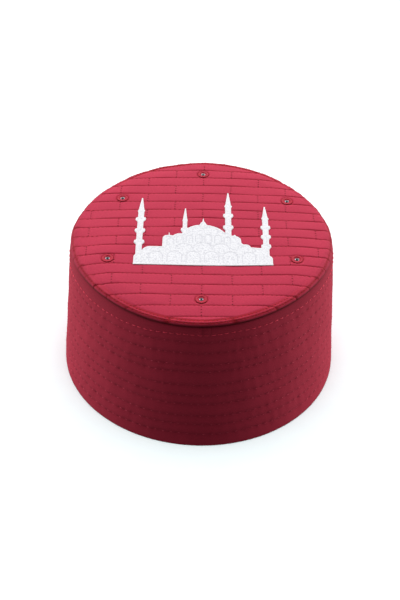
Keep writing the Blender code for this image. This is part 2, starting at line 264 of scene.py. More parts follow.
# %% Measures of crown and band
TILT_UP_TO_BACK = np.radians(2.63)
TILT_UP_TO_RIGHT = np.radians(0.35)
SHIFT_TO_RIGHT = 0.2 * MM
HEM_TO_LEFT = 0.4 * MM
RIM_WAVE = 0.7 * MM
RIM_CORNERS = 4
RIM_TURN = np.radians(-4.3)
CAP_HEIGHT = 101.5 * MM
CROWN_THICKNESS = 3.5 * MM
SEAM_RADIUS = 85.5 * MM
EDGE_ROLL = 4.1 * MM
FLAT_RADIUS = SEAM_RADIUS - EDGE_ROLL
DOME_RISE = 2.55 * MM
DIP = 1.4 * MM
DIP_MIDDLE = np.array([15.0, -25.0]) * MM
DIP_REACH = np.array([45.0, 35.0]) * MM
SEAT_GAP = 0.3 * MM
BAND_TOP = CAP_HEIGHT - CROWN_THICKNESS - SEAT_GAP
BAND_WALL = 3.0 * MM
HEM_RADIUS = 95.31 * MM
SHOULDER_RADIUS = 88.3 * MM
SHOULDER_HEIGHT = 6.7 * MM
SHOULDER_BASE = BAND_TOP - SHOULDER_HEIGHT
SHOULDER_TUCK = 2.4 * MM
SHOULDER_FULLNESS = 2.4
FRONT_RADIUS = 85.9 * MM
HEM_SPREAD = 1.9 * MM
HEM_SPREAD_HEIGHT = 12.0 * MM
HEM_SPREAD_TURN = np.radians(14.0)
ROW_SPACING = 9.54 * MM
ROW_OFFSET = 1.6 * MM
TACK_PITCH = 38.55 * MM
TACK_OFFSET = 0.35 * MM
TACK_BOW = 0.6 * MM
TACK_GATHER = 0.018
TACK_MIDDLE = 10.0 * MM
EYELET_CIRCLE = FLAT_RADIUS - 13.1 * MM

# name, angle from +X in degrees, distance from the middle as a share of the eyelet circle
EYELETS = (
    ("eyelet_back", 89.7, 1.00),
    ("eyelet_left_back", 144.9, 0.99),
    ("eyelet_right_back", 33.1, 1.03),
    ("eyelet_left_front", 204.1, 0.98),
    ("eyelet_right_front", 338.3, 0.99),
    ("eyelet_front", 270.7, 0.945),
)
eyelet_angles = np.radians([row[1] for row in EYELETS])
eyelet_shares = np.array([row[2] for row in EYELETS])
eyelet_x = EYELET_CIRCLE * eyelet_shares * np.cos(eyelet_angles) - SHIFT_TO_RIGHT
eyelet_y = EYELET_CIRCLE * eyelet_shares * np.sin(eyelet_angles)


def ramp(value):
    """The value, kept between 0 and 1."""
    return np.clip(value, 0.0, 1.0)


def bell(distance, width):
    """Bell curve of a distance: 1 at none, and 0.37 at one width."""
    return np.exp(-(distance / width) ** 2)


def leaned(points):
    """Points of the leaning cap for points of the upright one: height grows by the tilt's slope
    times x and y, and x by the shift, both in proportion to height up to the top of the band. So
    does the wave that gives the rim four slight corners: the cosine of four times the angle."""
    x, y, z = points[..., 0], points[..., 1], points[..., 2]
    share = np.minimum(z / BAND_TOP, 1.0)
    rise = np.tan(TILT_UP_TO_RIGHT) * x + np.tan(TILT_UP_TO_BACK) * y
    reach = np.hypot(x, y) / SEAM_RADIUS
    wave = RIM_WAVE * np.cos(RIM_CORNERS * (np.arctan2(y, x) - RIM_TURN))
    swell = 1.0 + wave / SEAM_RADIUS * reach ** 3 * share
    shift = SHIFT_TO_RIGHT * share - HEM_TO_LEFT * (1.0 - share)
    return np.stack([x * swell + shift, y * swell, z + rise * share], axis=-1)


def shoulder_radius(angle):
    """Radius where the band's shoulder begins. It stands out at the sides and hardly at the front and
    back: it grows between the two with the fourth power of the angle's cosine."""
    return FRONT_RADIUS + (SHOULDER_RADIUS - FRONT_RADIUS) * np.cos(angle) ** 4


def shoulder_height(angle, radius):
    """Height of the band's shoulder where it has the given radius. The shoulder is a quarter of a
    superellipse: its two distances, as shares of its reaches and raised to the fullness, add up to one."""
    widest = shoulder_radius(angle)
    inward = ramp((widest - radius) / (widest - SEAM_RADIUS + SHOULDER_TUCK))
    share = (1.0 - (1.0 - inward) ** SHOULDER_FULLNESS) ** (1.0 / SHOULDER_FULLNESS)
    return SHOULDER_BASE + SHOULDER_HEIGHT * share


def ripples(points, wavelength, seed, waves=14):
    """Smooth random ripples of about plus or minus one: the sum of a few sine waves, each with its
    own random direction in space, phase and length near the wavelength."""
    chance = np.random.default_rng(seed)
    total = np.zeros(points.shape[:-1])
    for _ in range(waves):
        direction = chance.normal(size=3)
        direction /= np.linalg.norm(direction)
        length = wavelength * chance.uniform(0.7, 1.5)
        total += np.sin(points @ direction * (2.0 * np.pi / length) + chance.uniform(0.0, 2.0 * np.pi))
    return total / np.sqrt(waves)


print("seam", SEAM_RADIUS / MM, "mm, hem", HEM_RADIUS / MM, "mm, height", CAP_HEIGHT / MM, "mm")

# %% [markdown]
# ## From arrays to a mesh
# Every new surface below is a grid of points worked out in one go. A grid becomes a mesh in three
# steps: join neighbours into faces, weld points that fall on one place, such as those of a pole or of
# a closed ring, and turn the shell over if its volume comes out negative, so that all faces look
# outwards.


# %% Helpers for meshes
def grid_faces(ids):
    """Faces of four between neighbouring rows and columns of a grid of point numbers."""
    corners = (ids[:-1, :-1], ids[:-1, 1:], ids[1:, 1:], ids[1:, :-1])
    return np.stack(corners, axis=-1)


def point_ids(grid):
    """Numbers of a grid's points, row after row."""
    rows, columns = grid.shape[:2]
    return np.arange(rows * columns).reshape(rows, columns)


def cell_means(values):
    """Mean of the four corners of every cell of a grid."""
    return (values[:-1, :-1] + values[1:, 1:] + values[:-1, 1:] + values[1:, :-1]) / 4.0


def sheets(upper, lower):
    """Points or numbers of two grids in one list, the upper sheet's first."""
    return np.concatenate([grid.reshape(-1, *grid.shape[2:]) for grid in (upper, lower)])


def plate_faces(upper, lower, kept):
    """Faces of a plate whose upper and lower sheets share one grid: kept cells of both sheets, and a
    wall wherever a kept cell has a neighbour that isn't kept."""
    top = grid_faces(upper)[kept]
    bottom = grid_faces(lower)[kept][:, ::-1]
    framed = np.pad(kept, 1)
    inside = framed[1:-1, 1:-1]
    walls = []
    for shift, axis, start, end in ((1, 0, 0, 1), (-1, 0, 2, 3), (-1, 1, 1, 2), (1, 1, 3, 0)):
        open_side = inside & ~np.roll(framed, shift, axis)[1:-1, 1:-1]
        above = grid_faces(upper)[open_side]
        below = grid_faces(lower)[open_side]
        walls.append(np.stack([above[:, start], below[:, start], below[:, end], above[:, end]], axis=-1))
    return np.concatenate([top, bottom] + walls)


def make_piece(name, points, faces, materials, flat_map=None, marks=None, face_slots=None):
    """Object of a closed shell. Points on one place are welded, faces that lose a corner become
    triangles, and the shell is turned if the sum of its corner products (its volume) is negative."""
    places, first, number = np.unique(np.round(points, 8), axis=0, return_index=True, return_inverse=True)
    faces = number.reshape(-1)[faces]
    volume = 0.0
    for start in range(1, faces.shape[1] - 1):
        a, b, c = places[faces[:, 0]], places[faces[:, start]], places[faces[:, start + 1]]
        volume += np.einsum("ij,ij->i", a, np.cross(b, c)).sum()
    if volume < 0.0:
        faces = faces[:, ::-1]
    repeated = faces == np.roll(faces, -1, axis=1)
    whole = ~repeated.any(axis=1)
    slots = np.zeros(len(faces), int) if face_slots is None else face_slots
    thin = repeated.sum(axis=1) == 1
    corners = faces[thin][~repeated[thin]].reshape(-1, faces.shape[1] - 1)
    used = np.unique(np.concatenate([faces[whole].ravel(), corners.ravel()]))
    renumber = np.zeros(len(places), int)
    renumber[used] = np.arange(len(used))
    polygons = renumber[faces[whole]].tolist() + renumber[corners].tolist()
    mesh = bpy.data.meshes.new(name)
    mesh.from_pydata(places[used].tolist(), [], polygons)
    if flat_map is not None:
        layer = mesh.uv_layers.new(name="cloth")
        corner_points = np.zeros(len(mesh.loops), int)
        mesh.loops.foreach_get("vertex_index", corner_points)
        layer.data.foreach_set("uv", flat_map[first][used][corner_points].astype(np.float32).ravel())
    for title, values in (marks or {}).items():
        column = mesh.attributes.new(title, "FLOAT", "POINT")
        column.data.foreach_set("value", values[first][used].astype(np.float32))
    for material in materials:
        mesh.materials.append(material)
    mesh.polygons.foreach_set("material_index", np.concatenate([slots[whole], slots[thin]]).astype(np.int32))
    mesh.shade_smooth()
    piece = placed(name, mesh)
    cap_pieces.objects.link(piece)
    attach(piece, "root")
    triangles = sum(len(polygon.vertices) - 2 for polygon in mesh.polygons)
    print(name, "has", triangles, "triangles, volume", round(abs(volume) / 6.0 * 1.0e6, 2), "cm3")
    return piece


# %% [markdown]
# ## Cotton
# Both padded pieces are plain-woven cotton, piece-dyed crimson. Woven cotton is matt: its fibres
# scatter light and give a faint pale sheen where the cloth turns away from the eye. Its threads lie
# about 0.35 mm apart, too fine for this picture, so the weave is drawn at 0.8 mm. Shade is painted
# into the colour: the mesh carries one mark of painted shade in creases, grooves, dimples and under
# the seam, and another that paints the seam itself nearly black, and the colour follows both.


# %% Cotton material
WEAVE_PITCH = 0.8 * MM
MAP_SCALE = 0.1


def thread_wave(tree, place, pitch):
    """Sine wave across threads of a pitch, at a place on the flat map."""
    turns = product(tree, place, 2.0 * np.pi * MAP_SCALE / pitch)
    return put(tree, "Math", {0: turns}, operation="SINE")


def woven_cotton(name, face_hex, painted_shade_hex):
    """Plain weave: over and under alternate, so its height is the product of two sine waves, one
    along each set of threads. It gives the eye a fine, even grain without any gloss."""
    material, tree, shader = new_material(name)
    flat = put(tree, "UVMap", uv_map="cloth")
    place = put(tree, "SeparateXYZ", {0: flat})
    warp, weft = [thread_wave(tree, place.outputs[axis], WEAVE_PITCH) for axis in (0, 1)]
    slub, tone = uneven(tree, flat, 130.0, 3.0, 0.90, 1.08)
    _, wide = uneven(tree, flat, 4.0, 2.0, 0.97, 1.03)
    # Painted shade: the seam mark darkens the tone to a fifth, and the other mark blends the colour to the
    # darker one.
    painted_seam_shade = put(tree, "MapRange", {0: mark(tree, "seam"), 1: 0.0, 2: 1.0, 3: 1.0, 4: 0.2})
    tone = product(tree, product(tree, tone, wide), painted_seam_shade)
    colour = blend(tree, mark(tree, "painted_shade"), face_hex, painted_shade_hex)
    height = put(tree, "Math", {0: product(tree, warp, weft), 1: slub}, operation="ADD")
    join(shader, {
        "Base Color": toned(tree, colour, tone),
        "Normal": relief(tree, height, 0.35, 0.08 * MM),
        "Roughness": 0.88,
        "Specular IOR Level": 0.25,
        "Sheen Weight": 0.12,
        "Sheen Roughness": 0.5,
        "Sheen Tint": linear("#F2A0A8"),
    })
    return material


# the second colour is the cloth at full painted shade
crown_cotton = woven_cotton("crimson_cotton_crown", "#BC2F4B", "#A0041A")
band_cotton = woven_cotton("crimson_cotton_band", "#B92A43", "#64041A")
print("weave drawn at", WEAVE_PITCH / MM, "mm")

# %% [markdown]
# ## The motif's outline
# The embroidery is a domed mosque with four minarets, a common figure on such caps. It is drawn with
# straight lines, arcs and one table of minarets, all in the motif's own plane with its base on y = 0.
# The crown needs it too, because the quilting stops under it, so it comes first.

# %% Draw the outline
MOTIF_WIDTH = 91.5 * MM
MOTIF_HEIGHT = 77.6 * MM
MOTIF_MIDDLE = np.array([1.3, -32.7]) * MM
MOTIF_TURN = np.radians(1.15)
MOTIF_LEAN = np.tan(np.radians(0.95))
SATIN_PITCH = 0.9 * MM
BALCONY_HEIGHT = 4.8

# Millimetres: middle, shaft width, collar height and width, tip height, balcony width, balcony heights
MINARETS = {
    "outer_left": (-42.65, 4.0, 57.1, 5.0, 72.1, 6.95, (47.4, 34.95, 22.85)),
    "inner_left": (-12.6, 3.0, 46.2, 3.5, 59.4, 5.3, (35.8,)),
    "inner_right": (16.6, 4.1, 61.8, 5.3, 77.6, 6.95, (51.35, 38.8)),
    "outer_right": (41.6, 3.95, 48.8, 5.0, 62.3, 6.6, (38.8, 28.65, 18.85)),
}

# Corners of the skyline between the minarets in millimetres: place and height, and where an arc leads
# there, how far it stands off its chord
BLOCK_LEFT = ((-45.8, 0.0), (-45.7, 8.7))
WING = ((-40.65, 13.1), (-35.0, 18.65, 1.6), (-27.3, 18.65))
STEP = ((-27.15, 27.9), (-23.35, 30.4, 0.8), (-22.95, 34.5), (-22.55, 30.4))
SADDLE = ((-20.4, 29.9), (-14.65, 32.4, 0.8))
DOME_LEFT = ((-10.9, 37.5), (-2.8, 41.3, 0.9))
LANTERN = (
    (-2.2, 43.0), (-0.8, 45.0), (-0.3, 49.6),
    (0.3, 45.0), (1.5, 43.0), (2.2, 41.2),
)
DOME_RIGHT = ((14.3, 33.4, 1.5),)
TERRACE = ((20.0, 30.3), (20.4, 31.1), (21.3, 31.1), (21.8, 29.8))
SHELF = (
    (25.1, 25.4, 0.85), (25.15, 23.1), (26.35, 21.5), (29.3, 21.2), (30.6, 20.2),
    (31.6, 18.3), (38.4, 17.4),
)
BLOCK_RIGHT = ((45.05, 8.4), (45.6, 6.8), (45.75, 0.0))
LEFT_FOOT = 10.2
RIGHT_FOOT = 9.8

# Arches drawn inside in millimetres: middle, half width, foot, spring line
ARCHES = (
    (-31.2, 4.4, 3.0, 8.6), (-18.9, 4.8, 3.0, 8.8), (-6.6, 4.6, 3.0, 9.2),
    (5.4, 4.6, 3.0, 9.2), (17.7, 4.7, 3.0, 8.8), (30.0, 4.4, 3.0, 8.4),
    (-12.8, 5.6, 16.0, 16.0), (-0.6, 6.0, 16.6, 16.6), (11.6, 5.6, 16.0, 16.0),
    (-22.0, 2.2, 20.0, 24.4), (-15.7, 2.2, 22.0, 27.0), (-9.4, 2.2, 23.0, 27.8), (-3.1, 2.2, 23.4, 28.4),
    (3.2, 2.2, 23.4, 28.4), (9.6, 2.2, 23.0, 27.8), (15.9, 2.2, 22.0, 26.0),
)


def minaret(name, left_foot, right_foot):
    """Outline up a minaret's left side and down its right one, from half widths and heights."""
    middle, shaft, collar, collar_width, tip, balcony_width, balconies = MINARETS[name]
    side = [(0.35, tip), (shaft * 0.47, collar + 1.5), (collar_width / 2.0, collar + 0.2)]
    side += [(collar_width / 2.0, collar - 0.4), (shaft / 2.0, collar - 1.3)]
    for level in balconies:
        side += [
            (shaft / 2.0, level + BALCONY_HEIGHT * 0.50),
            (balcony_width * 0.45, level + BALCONY_HEIGHT * 0.42),
            (balcony_width / 2.0, level + BALCONY_HEIGHT * 0.15),
            (balcony_width / 2.0, level - BALCONY_HEIGHT * 0.15),
            (shaft / 2.0, level - BALCONY_HEIGHT * 0.60),
        ]
    left = [(middle - half, height) for half, height in side[::-1] if height > left_foot]
    right = [(middle + half, height) for half, height in side if height > right_foot]
    return [(middle - shaft / 2.0, left_foot)] + left + right + [(middle + shaft / 2.0, right_foot)]


def arc(start, end, rise, steps=7):
    """Points between two ends on a circle that stands off their chord by the rise. The circle's radius
    is (half chord squared plus rise squared) over twice the rise."""
    start, end = np.array(start), np.array(end)
    chord = end - start
    half = np.hypot(*chord) / 2.0
    radius = (half * half + rise * rise) / (2.0 * rise)
    ahead = chord / (2.0 * half)
    across = np.array([-ahead[1], ahead[0]])
    middle = (start + end) / 2.0 - across * (radius - rise)
    spread = np.arcsin(min(half / radius, 1.0)) * np.linspace(-1.0, 1.0, steps)[1:-1]
    points = middle + radius * (np.cos(spread)[:, None] * across + np.sin(spread)[:, None] * ahead)
    return [tuple(point) for point in points]


def skyline(corners):
    """Points of one stretch of the skyline, with the arcs that lead to its corners."""
    points = []
    for place, height, *rise in corners:
        points += arc(points[-1], (place, height), *rise) if rise else []
        points.append((place, height))
    return points


def mosque_outline():
    """Closed outline in metres, clockwise from the lower left corner. The lowest balcony of the outer
    right minaret rises straight from the shelf, so that minaret's left foot is left out."""
    points = skyline(BLOCK_LEFT) + minaret("outer_left", LEFT_FOOT, WING[0][1])
    points += skyline(WING + STEP + SADDLE) + minaret("inner_left", SADDLE[-1][1], DOME_LEFT[0][1])
    points += skyline(DOME_LEFT + LANTERN + DOME_RIGHT)
    points += minaret("inner_right", DOME_RIGHT[-1][1], TERRACE[0][1])
    points += skyline(TERRACE + SHELF) + minaret("outer_right", SHELF[-1][1], RIGHT_FOOT)[1:]
    return np.array(points + skyline(BLOCK_RIGHT)) * MM


OUTLINE = mosque_outline()


def outline_depth(x, y):
    """Depth inside the outline, negative outside it: the least distance to its sides, with the sign
    that says whether a ray to the right crosses the outline an odd number of times."""
    nearest = np.full(np.shape(x), 1.0)
    crossings = np.zeros(np.shape(x), bool)
    for (x0, y0), (x1, y1) in zip(OUTLINE, np.roll(OUTLINE, -1, axis=0)):
        length = max((x1 - x0) ** 2 + (y1 - y0) ** 2, 1.0e-18)
        share = ramp(((x - x0) * (x1 - x0) + (y - y0) * (y1 - y0)) / length)
        nearest = np.minimum(nearest, np.hypot(x - x0 - share * (x1 - x0), y - y0 - share * (y1 - y0)))
        if y0 != y1:
            cut = x0 + (y - y0) * (x1 - x0) / (y1 - y0)
            crossings ^= ((y0 > y) != (y1 > y)) & (x < cut)
    return np.where(crossings, nearest, -nearest)


def on_crown(x, y):
    """Crown coordinates of the motif's own: leaned, turned and moved to the motif's place."""
    x = x + MOTIF_LEAN * y
    return (MOTIF_MIDDLE[0] + x * np.cos(MOTIF_TURN) - y * np.sin(MOTIF_TURN),
            MOTIF_MIDDLE[1] + x * np.sin(MOTIF_TURN) + y * np.cos(MOTIF_TURN))


def motif_depth(x, y):
    """Depth inside the motif at a place on the crown: on_crown undone, then the outline's depth."""
    x, y = x - MOTIF_MIDDLE[0], y - MOTIF_MIDDLE[1]
    x, y = x * np.cos(MOTIF_TURN) + y * np.sin(MOTIF_TURN), y * np.cos(MOTIF_TURN) - x * np.sin(MOTIF_TURN)
    return outline_depth(x - MOTIF_LEAN * y, y)


def eyelet_distance(x, y):
    """Distance to the nearest eyelet's middle."""
    return np.min([np.hypot(x - ex, y - ey) for ex, ey in zip(eyelet_x, eyelet_y)], axis=0)


def crown_dome(x, y):
    """Height of the crown's dome over its flat edge. It falls with the square of y, and with the
    square of x at the back, but only with its sixth power at the front, where the crown is pressed
    flat. A shallow dip, a bell curve, lies under the embroidery, whose stitches draw the cloth in."""
    across, along = np.minimum(np.abs(x) / FLAT_RADIUS, 1.0), y / FLAT_RADIUS
    back = ramp((y + 10.0 * MM) / (35.0 * MM))
    back = back * back * (3.0 - 2.0 * back)
    fall = across ** 2 * back + across ** 6 * (1.0 - back)
    dip = bell(x - DIP_MIDDLE[0], DIP_REACH[0]) * bell(y - DIP_MIDDLE[1], DIP_REACH[1])
    return DOME_RISE * np.maximum(0.0, 1.0 - along ** 2) * (1.0 - fall) - DIP * dip


def rayon_embroidery():
    """Rayon thread in machine satin and fill: white, with a silky gloss. Threads 0.4 mm apart, drawn
    at 0.9 mm across the satin, and as short knots of about a millimetre in the fill."""
    material, tree, shader = new_material("white_rayon_satin")
    flat = put(tree, "UVMap", uv_map="cloth")
    place = put(tree, "SeparateXYZ", {0: flat})
    satin = thread_wave(tree, place.outputs[1], SATIN_PITCH)
    knots = put(tree, "TexVoronoi", {"Vector": flat, "Scale": 95.0})
    fill = mark(tree, "fill")
    height = put(tree, "Mix", {0: fill, 2: satin, 3: knots})
    # the knots' specks are a random darker tone; the arches' grooves are painted shade
    speck = put(tree, "MapRange", {0: knots, 1: 0.40, 2: 0.85, 3: 0.0, 4: 0.7})
    shade = product(tree, speck, fill)
    shade = put(tree, "Math", {0: shade, 1: mark(tree, "groove")}, operation="MAXIMUM")
    join(shader, {
        "Base Color": blend(tree, shade, "#E7E7EB", "#C6C6CE"),
        "Normal": relief(tree, height, 0.5, 0.12 * MM),
        "Roughness": 0.5,
        "Specular IOR Level": 0.4,
    })
    return material


print("outline of", len(OUTLINE), "points,", np.round(np.ptp(OUTLINE, axis=0) / MM, 1).tolist(), "mm")

# %% [markdown]
# ## The quilted crown
# On the real cap the crown is two layers of cotton with a thin pad between, stitched in straight rows
# about 9.5 mm apart. Its edge rolls over and goes down to the seam. A round grid would be easy, but
# its rings would cut across the rows and blur them. So the grid's own rows run along the stitching,
# and each is as long as the chord of the circle, and continues over the roll.


# %% The crown's skin as a function of two parameters
LINES = ROW_OFFSET + (np.arange(-9, 8) + 0.5) * ROW_SPACING
ROLL_LENGTH = 6.3 * MM
EDGE_FULLNESS = 3.0
EDGE_FALL = 0.45 * MM
EDGE_FALL_START = 0.86
EDGE_TUCK = 0.4 * MM
EDGE_SWELL = 0.5 * MM
SIDE_ROLL = 1.8 * MM
SIDE_DROP = 1.6 * MM
SIDE_FALL = -0.8 * MM
SIDE_ROUNDING = 0.6
# places down the edge of its two rings of stitches, and how far forward or back each begins
RING_PLACES = (1.12, 1.50)
RING_LEAST = (0.75, 0.0)
FRONT_TURN = np.radians(0.64)
MIDDLE_TURN = np.radians(0.55)
BACK_TURN = np.radians(-1.0)
SWAY, SWAY_LENGTH = 0.30 * MM, 75.0 * MM
PILLOW_HEIGHT = 0.20 * MM
LINE_DEPTH, LINE_WIDTH = 0.26 * MM, 0.45 * MM
RING_DEPTH, RING_WIDTH = 0.34 * MM, 0.85 * MM
TACK_DEPTH, TACK_WIDTH = 0.08 * MM, 1.8 * MM
UNEVEN_DEPTH, UNEVEN_LENGTH = 0.16 * MM, 26.0 * MM
FOLD_DEPTH, FOLD_LENGTH = 0.16 * MM, 5.0 * MM
DISH_DEPTH, DISH_RADIUS, DISH_EDGE = 0.50 * MM, 4.3 * MM, 0.20 * MM
MOTIF_DENT, MOTIF_EDGE = 0.1 * MM, 0.4 * MM
EDGE_EASE = 0.3
# shares of painted shade: in the lines, more on the rolled edge, in the eyelets' dishes, and over the roll
# at the sides
LINE_SHADE, EDGE_LINE_SHADE, DISH_SHADE, SIDE_SEAM_SHADE = 0.6, 0.35, 0.9, 0.28


def crown_frame(theta, s):
    """Place and outward direction on the upright crown before any quilting. Theta runs from the front
    pole to the back pole, and y is the flat radius times its sine. S runs from -1 to 1 along the
    chord at that y, and on to 2 down the rolled edge, which is a quarter of a superellipse. At the
    sides the edge rolls farther out and down, over the band's shoulder, and is rounder. The rows turn
    by a degree and a half from front to back, and sway a little."""
    theta, s = np.broadcast_arrays(theta, s)
    over = ramp(np.abs(s) - 1.0)
    phi = np.pi / 2.0 * (1.0 - over)
    side = np.cos(theta) ** 4
    power = 2.0 / (EDGE_FULLNESS - SIDE_ROUNDING * side)
    roll = EDGE_ROLL + EDGE_SWELL * (1.0 - side) + SIDE_ROLL * side
    tuck = EDGE_TUCK * np.maximum(over * 3 - 2, 0) * (1.0 - side)
    radius = FLAT_RADIUS + roll * np.cos(phi) ** power - tuck
    pull = np.sin(theta) ** 8
    sine = np.clip(np.sin(theta) * (pull + (1.0 - pull) * FLAT_RADIUS / radius), -1.0, 1.0)
    cosine = np.sqrt(1.0 - sine * sine)
    x = radius * cosine * np.clip(s, -1.0, 1.0)
    y = radius * sine
    row_y = FLAT_RADIUS * np.sin(theta)
    share = (row_y / FLAT_RADIUS + 1.0) / 2.0
    turn = FRONT_TURN + (BACK_TURN - FRONT_TURN) * share + MIDDLE_TURN * 4.0 * share * (1.0 - share)
    inside = ramp(1.0 - np.abs(s))
    sway = SWAY * ripples(np.stack([x, row_y * 2.0, 0.0 * x], -1), SWAY_LENGTH, 4)
    y = y + sway * np.minimum(inside * 4, 1) * np.cos(theta)
    x, y = x * np.cos(turn) - y * np.sin(turn), x * np.sin(turn) + y * np.cos(turn)
    share = np.hypot(x, y) / FLAT_RADIUS
    dome = crown_dome(x, y) * ramp((1.0 - share) / 0.1) ** 0.5
    side_fall = EDGE_FALL + SIDE_FALL * side
    fall = side_fall * ramp((share - EDGE_FALL_START) / (1.0 - EDGE_FALL_START)) ** 2
    end = CAP_HEIGHT - CROWN_THICKNESS - SIDE_DROP * side
    rise = (CAP_HEIGHT - side_fall - end) * np.sin(phi) ** power
    z = np.where(over > 0.0, end + rise, CAP_HEIGHT + dome - fall)
    place = np.stack([x, y, z], -1)
    reach = np.maximum(np.hypot(x, y), 1.0e-9)
    out = np.stack([x / reach * np.cos(phi), y / reach * np.cos(phi), np.sin(phi)], -1)
    return place, out, row_y, over


def tack_columns(row_y):
    """Place across of the middle tack of the rows at the given y, and the distance between tacks. The
    columns bow to the left at the front and back, and stand closer, by a cosine, in the middle rows."""
    pitch = TACK_PITCH * (1.0 - TACK_GATHER * np.cos(3.0 * (row_y - TACK_MIDDLE) / FLAT_RADIUS))
    return TACK_OFFSET - TACK_BOW * (row_y / FLAT_RADIUS) ** 2, pitch


def seam_share(theta):
    """How much of the seam's shadow shows: all of it at the front and the back and none at the sides,
    where the wall leans out. It reaches further round on the right."""
    power = np.where(np.cos(theta) > 0.0, 10.0, 4.0)
    return 1.0 - np.abs(np.cos(theta)) ** power


def crown_skin(theta, s, lift=0.0):
    """Point of the quilted skin at a lift above it, its outward direction, and its painted shade.
    Rows are low pillows: their height is the root of the sine across the row. Each line adds
    a narrow groove, a bell curve across it, and so do the two stitch rings of the rolled edge. The
    cloth is dished round the eyelets and dented under the embroidery. Grooves, rings, dishes and
    the foot of the rolled edge are painted darker, as shade."""
    place, out, row_y, over = crown_frame(theta, s)
    x, y = place[..., 0], place[..., 1]
    row = (row_y - ROW_OFFSET) / ROW_SPACING
    from_line = np.abs(row - np.floor(row) - 0.5) * ROW_SPACING
    within = (row_y > LINES[0] - 0.5 * ROW_SPACING) & (row_y < LINES[-1] + 0.5 * ROW_SPACING)
    groove = bell(from_line, LINE_WIDTH) * within
    ease = 1.0 - EDGE_EASE * ramp(over * 2.5)
    pillow = np.sqrt(np.abs(np.cos(np.pi * row)))
    middle, pitch = tack_columns(row_y)
    column = (x - middle) / pitch + 0.5 * np.round(row)
    tack = bell(np.abs(column - np.round(column)) * pitch, TACK_WIDTH)
    depth = (PILLOW_HEIGHT * (1.0 - pillow) + LINE_DEPTH * groove) * ease + TACK_DEPTH * tack * pillow
    depth = depth + UNEVEN_DEPTH * ripples(place, UNEVEN_LENGTH, 7) * (1.0 - groove)
    side = np.cos(np.broadcast_to(theta, over.shape)) ** 4
    ring = np.zeros_like(over)
    for ring_place, share in zip(RING_PLACES, ((1.0 - side) ** 3, 1.0 - 0.4 * side)):
        line = bell((1.0 + over - ring_place) * ROLL_LENGTH, RING_WIDTH)
        ring = np.maximum(ring, line * share * (over > 0.0))
    fold = ripples(place, FOLD_LENGTH, 9) * np.sin(np.pi * ramp(over))
    depth = depth + RING_DEPTH * ring + FOLD_DEPTH * fold
    away = (eyelet_distance(x, y) - DISH_RADIUS) / DISH_EDGE
    dish = 1.0 / (1.0 + np.exp(np.clip(away, -30.0, 30.0)))
    depth = depth * (1.0 - dish) + DISH_DEPTH * dish
    covered = ramp(motif_depth(x, y) / MOTIF_EDGE + 0.5)
    depth = depth * (1.0 - covered) + MOTIF_DENT * covered
    depth = depth * np.where(over > 0.9, (1.0 - over) / 0.1, 1.0)
    # painted shade in the lines' grooves, the rings, the eyelets' dishes and at the seam
    line = groove * (LINE_SHADE + EDGE_LINE_SHADE * ramp(over * 4.0))
    painted_shade = ramp(np.maximum(np.maximum(line, ring), dish * DISH_SHADE))
    painted_shade = np.maximum(painted_shade, ramp((over - 0.8) / 0.2) * seam_share(theta))
    return leaned(place + out * (lift - depth)[..., None]), out, painted_shade


def crown_seam_shade(theta, over):
    """Painted seam shade on the rolled edge: full at its lower end, in the seam, and at the sides,
    where that fades out, a little painted shade over the whole roll."""
    deep = ramp((over - 0.85) / 0.15) * seam_share(theta)
    return np.maximum(deep, SIDE_SEAM_SHADE * np.cos(theta) ** 4 * ramp(2.0 * over))


def crown_rows():
    """Theta of the grid's rows: close together at every stitched line and at both poles. The steps
    are shares of the way from one line to the next."""
    steps = np.array([0.0, 0.03, 0.065, 0.11, 0.18, 0.29, 0.42, 0.58, 0.71, 0.82, 0.89, 0.935, 0.97])
    rows = (LINES[:-1, None] + steps * ROW_SPACING).ravel()
    rows = np.concatenate([rows, LINES[-1] + steps[:7] * ROW_SPACING])
    theta = np.arcsin(rows / FLAT_RADIUS)
    front = np.linspace(-np.pi / 2.0, theta[0], 12)[:-1]
    back = np.linspace(theta[-1], np.pi / 2.0, 13)[1:]
    return np.concatenate([front, theta, back])


print(len(LINES), "stitched lines,", ROW_SPACING / MM, "mm apart")

# %% Build the crown
ACROSS = 140
ROLL_STEPS = np.array([
    1.03, 1.06, 1.09, 1.12, 1.16, 1.22, 1.30, 1.38, 1.44, 1.50, 1.57, 1.68, 1.82, 1.93, 2.0,
])
HOLE_RADIUS = 3.0 * MM
SHOULDER_GAP = 0.2 * MM
LIP = 0.3 * MM
UNDER_CREASE = 0.25 * MM

columns = np.concatenate([-ROLL_STEPS[::-1], np.linspace(-1.0, 1.0, ACROSS + 1), ROLL_STEPS])
rows = crown_rows()
upper, _, painted_shade = crown_skin(rows[:, None], columns[None, :])
place, _, _, over = crown_frame(rows[:, None], columns[None, :])
under = place.copy()
seat = CAP_HEIGHT - CROWN_THICKNESS
side = np.cos(rows[:, None]) ** 4
reach = np.hypot(place[..., 0], place[..., 1])
shoulder = shoulder_height(np.arctan2(place[..., 1], place[..., 0]), reach)
lip = np.clip(shoulder + SHOULDER_GAP, seat - (SIDE_DROP + LIP) * side, seat)
edge_height = np.minimum(lip, place[..., 2])
flat_height = np.maximum(place[..., 2] - CROWN_THICKNESS, seat) + UNDER_CREASE * painted_shade
under[..., 2] = np.where(over > 0.0, edge_height, flat_height)
under = leaned(under)
under[:, (0, -1)] = upper[:, (0, -1)]
beyond = over * ROLL_LENGTH / reach.clip(1.0e-9)
flat_map = place[..., :2] * (1.0 + beyond)[..., None] / MAP_SCALE
centre = cell_means(place[..., :2])
kept = eyelet_distance(centre[..., 0], centre[..., 1]) > HOLE_RADIUS
ids = point_ids(place)
